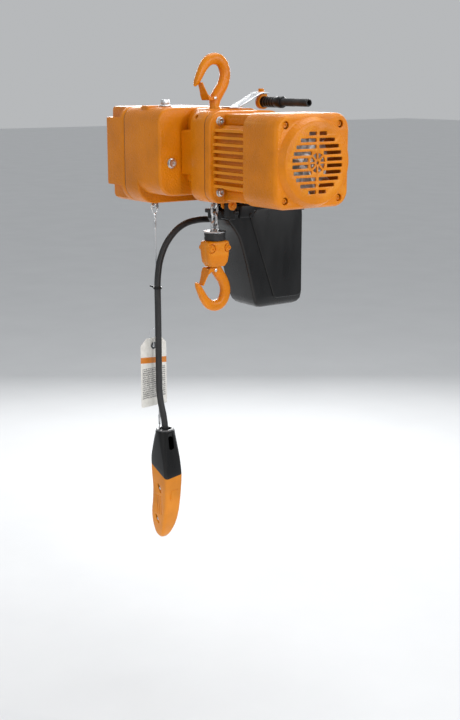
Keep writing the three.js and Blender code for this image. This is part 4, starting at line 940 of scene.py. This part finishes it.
def latch(name, saddle, flip, body, node):
    """Pressed steel latch: a channel on the pin whose tongue closes on the hook's tip."""
    half = [(3, 12.5), (6, 14.5), (12, 14), (26, 10.5), (36, 9), (42, 8)]
    outline = [(z, -x) for z, x in half[:1]] + half + [(z, -x) for z, x in half[:0:-1]]
    plate = prism("sheet", "y", outline, -16, -13.6)
    ear = [(-16, 1.5), *arc(0, 0, 5, -120, 50, 12), (-8, 6), (-12.5, 13), (-16, 15)]
    for x0, x1 in ((-14.5, -12.3), (12.3, 14.5)):
        join(plate, prism("ear", "x", ear, x0, x1))
    cut(plate, rod("pin_bore", "x", 2.6, -20, 20, 0, 0, 20))
    soften(plate, 0.9, 3, 30)
    plate.name = name
    turn = Matrix.Rotation(math.radians(LATCH_LEAN), 4, "X")
    mirror = Matrix.Scale(-1, 4, (0, 0, 1)) if flip else Matrix.Identity(4)
    pivot = Vector((0, LATCH_PIVOT[0], pivot_height(saddle, flip))) * MM
    plate.data.transform(Matrix.Translation(pivot) @ mirror @ turn)
    clean(plate)
    finish(plate, body, FORGED, [node])


def latch_pin(name, saddle, flip, body, node):
    head = [(2.6, -16.4), (3.4, -16), (3.6, -15.4), (3.4, -14.9), (2.1, -14.8)]
    profile = head + [(r, -x) for r, x in reversed(head)]
    pin = turned(name, "x", profile, LATCH_PIVOT[0], pivot_height(saddle, flip), 24)
    finish(pin, body, ZINC, [node])


# ---------------------------------------------------------------- hook block
def level(x0, x1, y0, y1, r, z, steps=8):
    return [(x, y, z) for x, y in rounded(x0, x1, y0, y1, [r] * 4, steps)]


def block_half(side, node):
    """Half of the hook block's shell: swelling shoulders, two bolt bosses and a thin parting line."""
    top, bottom = Box(node).z1, Box(node).z0
    sizes = [(14, 22, top), (18, 28, top - 1.2), (20, 30.4, top - 4), (20.6, 31.4, top - 10),
             (20.4, 31, top - 22), (19.6, 29.6, top - 36), (18.6, 27.6, top - 48), (16.8, 23.5, top - 54),
             (15.6, 20.5, bottom)]
    shell = loft("block_shell_%s" % ("front" if side > 0 else "back"),
                 [level(-x, x, -0.94 * y, 0.94 * y, x * 0.42, z, 5) for x, y, z in sizes])
    for y in (-BLOCK_BOLT_Y, BLOCK_BOLT_Y):
        boss = [(6.6, side * 12), (6.6, side * 20.4), (6.0, side * 20.9)][::side]
        join(shell, turned("boss", "x", boss, y, BLOCK_BOLT_Z, 32))
    cut(shell, rod("hollow", "z", 16.3, -434, -386, 0, 0),
        turned("through", "z", [(14, -450), (14, -431), (12, -430.9), (12, top + 5)], 0, 0),
        slab("pin_slot", -16.2, 16.2, -3.4, 3.4, -399.8, -393.2),
        slab("other_half", *sorted((0.15 * side, -60 * side)), -60, 60, -500, -300))
    for y in (-BLOCK_BOLT_Y, BLOCK_BOLT_Y):
        groove = [(8.4, side * 16), (10.6, side * 16), (10.6, side * 30), (8.4, side * 30)]
        cut(shell, tunnel("groove", "x", groove, y, BLOCK_BOLT_Z, 32))
    soften(shell, 0.8, 3)
    finish(shell, "block", ORANGE, [node])


def block_fasteners():
    bolts = None
    for y in (-BLOCK_BOLT_Y, BLOCK_BOLT_Y):
        head = socket_bolt("block_bolts", 21, y, BLOCK_BOLT_Z, 5.2, 3.4)
        nut = turned("nut", "x", [(4.4, -24), (5, -23.4), (5, -21.2)], y, BLOCK_BOLT_Z, 6)
        bolts = gather(bolts, head, nut) if bolts else gather(head, nut)
    finish(bolts, "block", FORGED)


def cushion():
    plate, rubber = Box("cushion_plate"), Box("cushion_rubber")
    low, high = plate.z0, plate.z1
    rim = [(12, low), (24.6, low), (25.2, low + 0.6), (25.2, high - 0.6), (24.6, high), (12, high)]
    finish(tunnel("stop_plate", "z", rim, 0, 0, 64), "block", ZINC, ["cushion_plate"])
    low, high = rubber.z0, rubber.z1
    profile = [(12, low), (22, low), (23.6, low + 1.4), (24, low + 5), (23.1, (low + high) / 2),
               (24, high - 5), (23.8, high - 1), (23, high), (12, high)]
    finish(tunnel("buffer_rubber", "z", profile, 0, 0, 64), "block", RUBBER, ["cushion_rubber"])


# ---------------------------------------------------------------- chain bucket
# Front wall, back, left and right side, corner radius at each height.
BUCKET_LEVELS = [
    (16, 231, -57, 30, 10, -318), (18, 231, -58, 30, 7, -338), (34, 231, -62, 30, 7, -358),
    (47, 231, -66, 30, 7, -376), (58, 231, -70, 30, 7, -404), (69, 231, -75, 30, 7, -440),
    (90, 231, -73, 29.5, 7, -521), (95, 230, -71, 27, 7, -533), (102, 225, -66, 22, 7, -541),
    (110, 217, -60, 16, 7, -545),
]


def bucket_wall(inset, floor):
    """Rings of the bucket's wall; rings under the floor are laid on it, each a hair lower."""
    return [level(left + inset, right - inset, front + inset, back - inset, max(radius - inset, 4),
                  max(z, floor - 0.01 * i), 8)
            for i, (front, back, left, right, radius, z) in enumerate(BUCKET_LEVELS)]


def bucket():
    """Moulded chain bucket: sloping front wall, a raised side panel and a shoulder under the rim."""
    shell = loft("bucket_shell", bucket_wall(0, -600))
    inner = bucket_wall(3.2, BUCKET_LEVELS[-1][5] + 3.2)
    inner[0] = [(x, y, -310) for x, y, z in inner[0]]
    cut(shell, loft("inside", inner))
    panel = [(76, -334), (92, -316.2), (206, -314)] + arc(213, -328, 12, 90, 0, 6)
    panel += arc(214, -513, 12, 0, -90, 6) + arc(154, -513, 12, -90, -160, 5)
    wall = prism("panel", "x", panel, 27, 33.5, 2.4, 4)
    shoulder = slab("shoulder", 16, 37, 44, 84, -334, -303, 5, 4)
    lip = slab("lip", -59, 32, 13.5, 233, -326, -317, 1.6, 2)
    cut(lip, slab("opening", -53, 26, 20, 227, -340, -300))
    collar = slab("collar", -57.6, 31.3, 56.5, 231.8, -323, -297, 5, 4)
    cut(collar, slab("opening", -52, 25.5, 61, 226, -340, -290))
    stud = turned("stud", "x", [(5.4, 36), (5.4, 38.4), (4.4, 39.4)], 74, -328, 32)
    hanger = slab("hanger", 26, 47, 6, 18, -328, -293.5, 2.4, 3)
    shelf = slab("shelf", 8, 47, 9, 24, -334, -318, 3, 3)
    arm = slab("arm", -57, -53, 30, 90, -324, CASE_HIGH - 0.3, 0.8)
    join(shell, wall)
    join(hanger, shelf)
    cut(hanger, bucket_pin_bore())
    soften(shell, 1.0, 3)
    gather(shell, shoulder, lip, collar, stud, hanger, arm)
    finish(shell, "housing", MOULDED, ["chain_bucket"])
    box = Box("bucket_pin")
    profile = [(3, box.x0), (4, box.x0 + 1), (4, box.x1 - 1), (3, box.x1)]
    pin = turned("bucket_hinge_pin", "x", profile, box.y, box.z, 32)
    finish(pin, "housing", FORGED, ["bucket_pin"])


# ---------------------------------------------------------------- power inlet
def power_inlet():
    y, z = GLAND.y, GLAND.z
    profile = [(24, -92.6), (50, -92.6), (112, -62), (134, -62), (134, -58.6), (111, -58.6),
               (49, -89.2), (24, -89.2)]
    strip = prism("inlet_arm", "x", profile, ARM.x0, ARM.x1, 0.7, 2)
    finish(strip, "housing", ZINC, ["support_arm"])
    bolt = turned("arm_bolt_washer", "z", [(8.5, -58.4), (8.5, -57), (7.8, -56.6)], 8, y - 4, 32)
    gather(bolt, prism("head", "z", polygon(8, y - 4, 6.6, 6, 0), -56.5, -51, 0.8, 2))
    finish(bolt, "housing", FORGED)
    x0, x1 = Box("cable_clamp").x0, Box("cable_clamp").x1
    profile = [(12.4, x0), (15.4, x0), (16, x0 + 0.8), (16, x1 - 0.8), (15.4, x1), (12.4, x1)]
    band = tunnel("clamp_band", "x", profile, y, z, 48)
    tab = slab("tab", x0, x1, y - 9, y + 9, -67.5, -62.4, 1, 2)
    cut(tab, rod("clear", "x", 14, -20, 40, y, z))
    finish(join(band, tab), "housing", ORANGE, ["cable_clamp"])
    ribs = [(11.2, GLAND.x0), (12, GLAND.x0 + 1)]
    for i in range(5):
        x = GLAND.x0 + 22 + 9 * i
        ribs += [(12, x), (11.3, x + 1), (11.3, x + 2), (12, x + 3)]
    ribs += [(12, 69), (12.8, 70), (12.8, 80), (11.5, 82), (9, 82), (9, 30)]
    gland = turned("inlet_gland", "x", ribs, y, z, 40)
    finish(gland, "housing", MOULDED, ["power_gland"])
    rubber = [(8.6, 60), (8.6, 84), (8.0, 86)]
    for i in range(8):
        x = 88 + 4.5 * i
        rubber += [(8.6, x), (8.6, x + 2), (7.9, x + 2.6), (7.9, x + 3.9)]
    rubber += [(8.3, 128), (8.3, 169), (7.6, 171), (5.6, 171), (5.4, 150)]
    finish(turned("inlet_sleeve", "x", rubber, y, z, 40), "housing", RUBBER, ["power_cable_sleeve"])


def cable_elbow():
    path = spline([(-106, 98, -283), (-106, 98, -306), (-106, 98, -328), (-106, 94, -341), (-106, 84, -348),
                   (-106, 75, -349)], 8)
    elbow = swept("pendant_cable_gland", path, lambda t: 11.5 - 1.6 * t, 32)
    rim = [(16, -288), (17, -287), (17, -283.3), (16, CASE_HIGH - 0.3)]
    flange = turned("flange", "z", rim, -106, 98, 40)
    nut = prism("nut", "y", polygon(-349, -106, 13.6, 8, 22), 76.5, 89, 1, 2)
    gather(elbow, flange, nut)
    finish(elbow, "housing", MOULDED, ["cable_elbow"])


# ---------------------------------------------------------------- cable, wire, tie and tag
def pendant_cable():
    path = spline(CABLE_ROUTE, 6)
    cable = swept("pendant_cable", path, CABLE_R, 20)
    metres = [p * MM for p in path]
    length = sum((b - a).length for a, b in zip(metres, metres[1:]))
    finish(cable, None, CABLE_RUBBER)
    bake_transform(cable)
    return cable, metres, length


def strain_wire():
    x, y, z = WIRE_TOP
    loop = [(x, y, z + 5), (x, y - 6, z + 4), (x, y - 9.5, z), (x + 0.1, y - 5, z - 11),
            (x + 0.3, y - 0.8, z - 22), (x + 0.3, y + 0.8, z - 22), (x + 0.1, y + 5, z - 11),
            (x, y + 9.5, z), (x, y + 6, z + 4)]
    wire = swept("strain_wire_rope", spline(loop + loop[:1], 5)[:-1], 1.1, 10, closed=True)
    start, end = Vector(WIRE_JOIN), Vector(WIRE_END)
    gather(wire, swept("run", [start, start.lerp(end, 0.5), end], 1.35, 12),
           turned("crimp", "z", [(2.0, -341), (2.7, -340), (2.7, -330), (2.0, -329)], x + 0.4, y, 20),
           turned("ferrule", "z", [(1.7, -366), (2.6, -364), (2.6, -345), (1.7, -343)],
                  x + 0.75, y - 0.1, 20),
           turned("lower", "z", [(1.7, -829), (2.7, -827), (2.7, -806), (1.7, -804)],
                  WIRE_END[0] - 0.8, WIRE_END[1] + 0.1, 20))
    finish(wire, "pendant", ZINC, ["strain_wire"])
    anchor = Box("wire_anchor")
    pin = rod("wire_anchor_pin", "x", 2.6, anchor.x0, anchor.x1, y, z + 1.6, 24)
    for middle in (x - 7, x + 7):
        gather(pin, slab("lug", middle - 1.5, middle + 1.5, y - 4, y + 5, z - 4, anchor.z1, 0.6))
    finish(pin, "housing", ZINC, ["wire_anchor"])


def cable_tie():
    low, high = -501.2, -496.6
    band = tunnel("cable_tie_band", "z", [(8.3, low), (9.8, low), (9.8, high), (8.3, high)], -117.5, -79, 40)
    strap = slab("strap", -134, -125.5, -77, -75.6, low, high, 0.4)
    tail = slab("tail", -151, -133, -79.6, -78.2, -500.8, -497.2, 0.5)
    head = slab("head", -136.5, -130.5, -82, -75.6, -501.5, -496, 1)
    gather(band, strap, tail, head)
    finish(band, "pendant", MOULDED, ["cable_tie"])


def tag():
    """Card on a wire loop: cut corners at the top and a metal eyelet."""
    card = Box("tag")
    w, top, bottom = 39, card.z1, card.z0
    outline = [(-w, bottom + 2), (-w + 2, bottom), (w - 2, bottom), (w, bottom + 2), (w, top - 16),
               (w - 17, top), (17 - w, top), (-w, top - 16)]
    sheet = prism("tag_sheet", "x", outline, -0.5, 0.5, 0.2, 1)
    cut(sheet, rod("eye", "x", 6.1, -3, 3, 0, TAG_EYE, 32))
    turn = Matrix.Rotation(math.radians(TAG_TURN), 4, "Z")
    turn = Matrix.Translation(Vector((TAG_X, TAG_Y, 0)) * MM) @ turn
    sheet.data.transform(turn)
    finish(sheet, "label", TAG_CARD, ["tag"])
    profile = [(3.8, -1.4), (8.2, -1.4), (8.6, -0.9), (6, -0.6), (6, 0.6), (8.6, 0.9), (8.2, 1.5), (3.8, 1.5)]
    eyelet = tunnel("tag_eyelet_ring", "x", profile, 0, TAG_EYE, 40)
    eyelet.data.transform(turn)
    finish(eyelet, "label", EYELET_STEEL, ["tag_eyelet"])
    points = [(-139.5, -78.5, -640.5), (-134.5, -81.5, -632), (-128, -82, -614), (-126.3, -76, -601),
              (-128.5, -69, -596.5), (-136, -70, -595), (-142.5, -80, -600), (-145, -86, -612),
              (-145, -83, -628)]
    loop = spline(points + points[:1], 6)[:-1]
    finish(swept("tag_wire_loop", loop, 0.8, 10, closed=True), "label", ZINC, ["tag_loop"])


# ---------------------------------------------------------------- pendant
# Height, centre in X, width, depth and corner radius.
PENDANT_LEVELS = [
    (-836, -99.5, 45, 43, 21), (-866, -100, 54, 46, 20), (-905, -99, 63, 48, 17),
    (-942, -95, 66, 48, 15), (-975, -94.5, 63, 45, 14), (-1010, -98, 62, 43, 14),
    (-1045, -105, 61, 41, 14), (-1072, -110, 52, 36, 15),
    (-1096, -115, 34, 26, 12), (-1107, -117.4, 18, 16, 7.6), (-1110, -118, 8, 7, 3.4),
]
PENDANT_Y = -75
SPLIT = (-95, -930, -0.42, 0.15)
BUTTON_Z = {"button_up": -980, "button_down": -1015}
BUTTON_X = -98
# Each screw of the handle: its place in X and Z, the depth of its head and of its recess.
SCREWS = ((-93, -976, -94.6, -94.4), (-109, -1058, -91.8, -91.6))


def pendant_shell(name, inset, floor=-1110):
    rings = []
    smooth = spline([(x, w, d) for z, x, w, d, r in PENDANT_LEVELS], 5)
    other = spline([(z, r, 0) for z, x, w, d, r in PENDANT_LEVELS], 5)
    for (x, w, d), (z, r, _) in zip(smooth, other):
        if z < floor:
            continue
        hw, hd = max(w / 2 - inset, 2), max(d / 2 - inset, 2)
        tight = 0.5 + 0.5 * min(max((z + 905) / 60, 0), 1)
        r = min(max(r * tight - inset, 1.5), hw * 0.98, hd * 0.98)
        rings.append(level(x - hw, x + hw, PENDANT_Y - hd, PENDANT_Y + hd, r, z, 8))
    return loft(name, rings)


def above_split(lift):
    """Block that covers everything above the slanted joint of cap and body."""
    x, z, slope_x, slope_y = SPLIT
    normal = Vector((-slope_x, -slope_y, 1)).normalized()
    block = slab("above", -200, 200, -200, 200, 0, 300)
    turn = Vector((0, 0, 1)).rotation_difference(normal).to_matrix().to_4x4()
    block.data.transform(Matrix.Translation(Vector((x, PENDANT_Y, z + lift)) * MM) @ turn)
    return block


def pendant_cap():
    cap = pendant_shell("pendant_hood", 0)
    combine(cap, [above_split(0.15)], "INTERSECT")
    inner = pendant_shell("inner", 3)
    combine(inner, [above_split(-4)], "INTERSECT")
    for vertex in inner.data.vertices:
        vertex.co.z = min(vertex.co.z, -844 * MM)
    cut(cap, inner)
    cut(cap, rod("cable_bore", "z", 13.5, -866, -830, -99.5, PENDANT_Y),
        rod("wire_bore", "z", 3.4, -866, -830, -122.6, PENDANT_Y, 20))
    cut(cap, prism("recess", "x", rounded(-82, -68, -879, -840, [5, 5, 6, 6], 6), -78.5, -50))
    soften(cap, 0.8, 3)
    finish(cap, "pendant", HANDLE_BLACK, ["pendant_cap"])
    collar = tunnel("pendant_rim", "z", [(13.8, -838), (20.4, -838), (21.4, -836), (21.2, -834),
                                         (19.6, -832.6),
                                         (15.4, -832.6), (13.8, -834)], -99.5, PENDANT_Y, 56)
    # The rim's lightened grey is partly its own colour and partly a painted highlight.
    finish(collar, "pendant", RIM_GREY_PAINTED_HIGHLIGHT)


def pendant_body():
    """Orange handle: a slim shell with screw recesses, grooves, a plain pad and the button windows."""
    shell = pendant_shell("pendant_handle", 0)
    cut(shell, above_split(-0.15), pendant_shell("inner", 3, -1100))
    for z in BUTTON_Z.values():
        cut(shell, slab("window", BUTTON_X - 11.6, BUTTON_X + 11.6, PENDANT_Y + 10, PENDANT_Y + 40,
                        z - 11.6, z + 11.6))
    for x, z, _, floor in SCREWS:
        angles = [2 * math.pi * i / 28 for i in range(28)]
        recess = [(z + 11 * math.sin(a), x + 5 * math.cos(a) - 5 * math.sin(a)) for a in angles]
        cut(shell, prism("screw_recess", "y", recess, PENDANT_Y - 36, floor))
    for x in (-105, -97, -89):
        cut(shell, slab("groove", x - 1.1, x + 1.1, PENDANT_Y - 30, PENDANT_Y - 19.9, -1042, -994))
    soften(shell, 0.7, 2)
    finish(shell, "pendant", HANDLE_ORANGE, ["pendant_body"])
    side = BUTTON_X + 32
    pad = prism("pendant_pad", "x", rounded(-84, -64, -1001, -977, [3] * 4, 6), side - 4, side + 3.8, 0.8, 2)
    bar = prism("bar", "x", rounded(-84, -64, -966, -957, [2] * 4, 4), side - 4, side + 2.6, 0.6, 2)
    finish(gather(pad, bar), "pendant", HANDLE_ORANGE)
    screws = None
    for x, z, y, _ in SCREWS:
        head = turned("pendant_screws", "y", [(2.2, y - 1.9), (3.4, y - 1.4), (3.7, y)], z, x, 24)
        for wide, tall in ((3, 0.5), (0.5, 3)):
            cut(head, slab("slot", x - wide, x + wide, y - 3, y - 1.1, z - tall, z + tall))
        screws = gather(screws, head) if screws else head
    finish(screws, "pendant", ZINC)


def push_buttons():
    for (node, z), body in zip(BUTTON_Z.items(), ("up_key", "down_key")):
        box = Box(node)
        key = slab(node + "_key", box.x0, box.x1, box.y1 - 5.5, box.y1, box.z0, box.z1, 2, 4)
        way = 1 if node == "button_up" else -1
        tail = z - 4 * way
        arrow = [(tail, BUTTON_X - 5), (z + 5 * way, BUTTON_X), (tail, BUTTON_X + 5)]
        cut(key, prism("arrow", "y", arrow, box.y1 - 0.7, box.y1 + 3))
        join(key, slab("stem", BUTTON_X - 4, BUTTON_X + 4, box.y0, box.y1 - 4, z - 4, z + 4))
        finish(key, body, HANDLE_BLACK, [node])


# ---------------------------------------------------------------- inner parts kept from the CAD model
def dress_kept_nodes():
    slots = {entry["node"]: entry["material_slot"] for entry in frame["record"]["subparts"]}
    for node, item in frame["nodes"].items():
        item.data.materials.clear()
        item.data.materials.append(KEPT_LOOKS.get(slots[node], STEEL[0]))


add_camera()
cable, cable_path, cable_length = pendant_cable()
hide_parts("pendant_cable_arc", "pendant_cable_drop")
dress_kept_nodes()
add_stage()
end_cover()
gear_case()
frame_casting()
motor_housing()
fan_cover()
fasteners()
gaskets()
oil_plug()
fan()
hanging_chain("fall_links", 0, FALL_TOP, 11, True, "block", "chain_fall")
hanging_chain("slack_links", SLACK_Y, FALL_TOP, 8, False, "slack_fall", "chain_slack")
chain_round_wheel()
chain_heap()
hook("top_hook_forging", 0, False, -148, "upper_hook", "top_hook")
latch("top_latch_plate", 0, False, "upper_latch", "top_latch")
latch_pin("top_latch_rivet", 0, False, "upper_hook", "top_latch_pin")
hook("load_hook_forging", LOAD_SADDLE, True, -412, "lower_hook", "load_hook")
latch("load_latch_plate", LOAD_SADDLE, True, "lower_latch", "load_latch")
latch_pin("load_latch_rivet", LOAD_SADDLE, True, "lower_hook", "load_latch_pin")
block_half(1, "block_half_front")
block_half(-1, "block_half_back")
block_fasteners()
cushion()
bucket()
power_inlet()
cable_elbow()
strain_wire()
cable_tie()
tag()
pendant_cap()
pendant_body()
push_buttons()
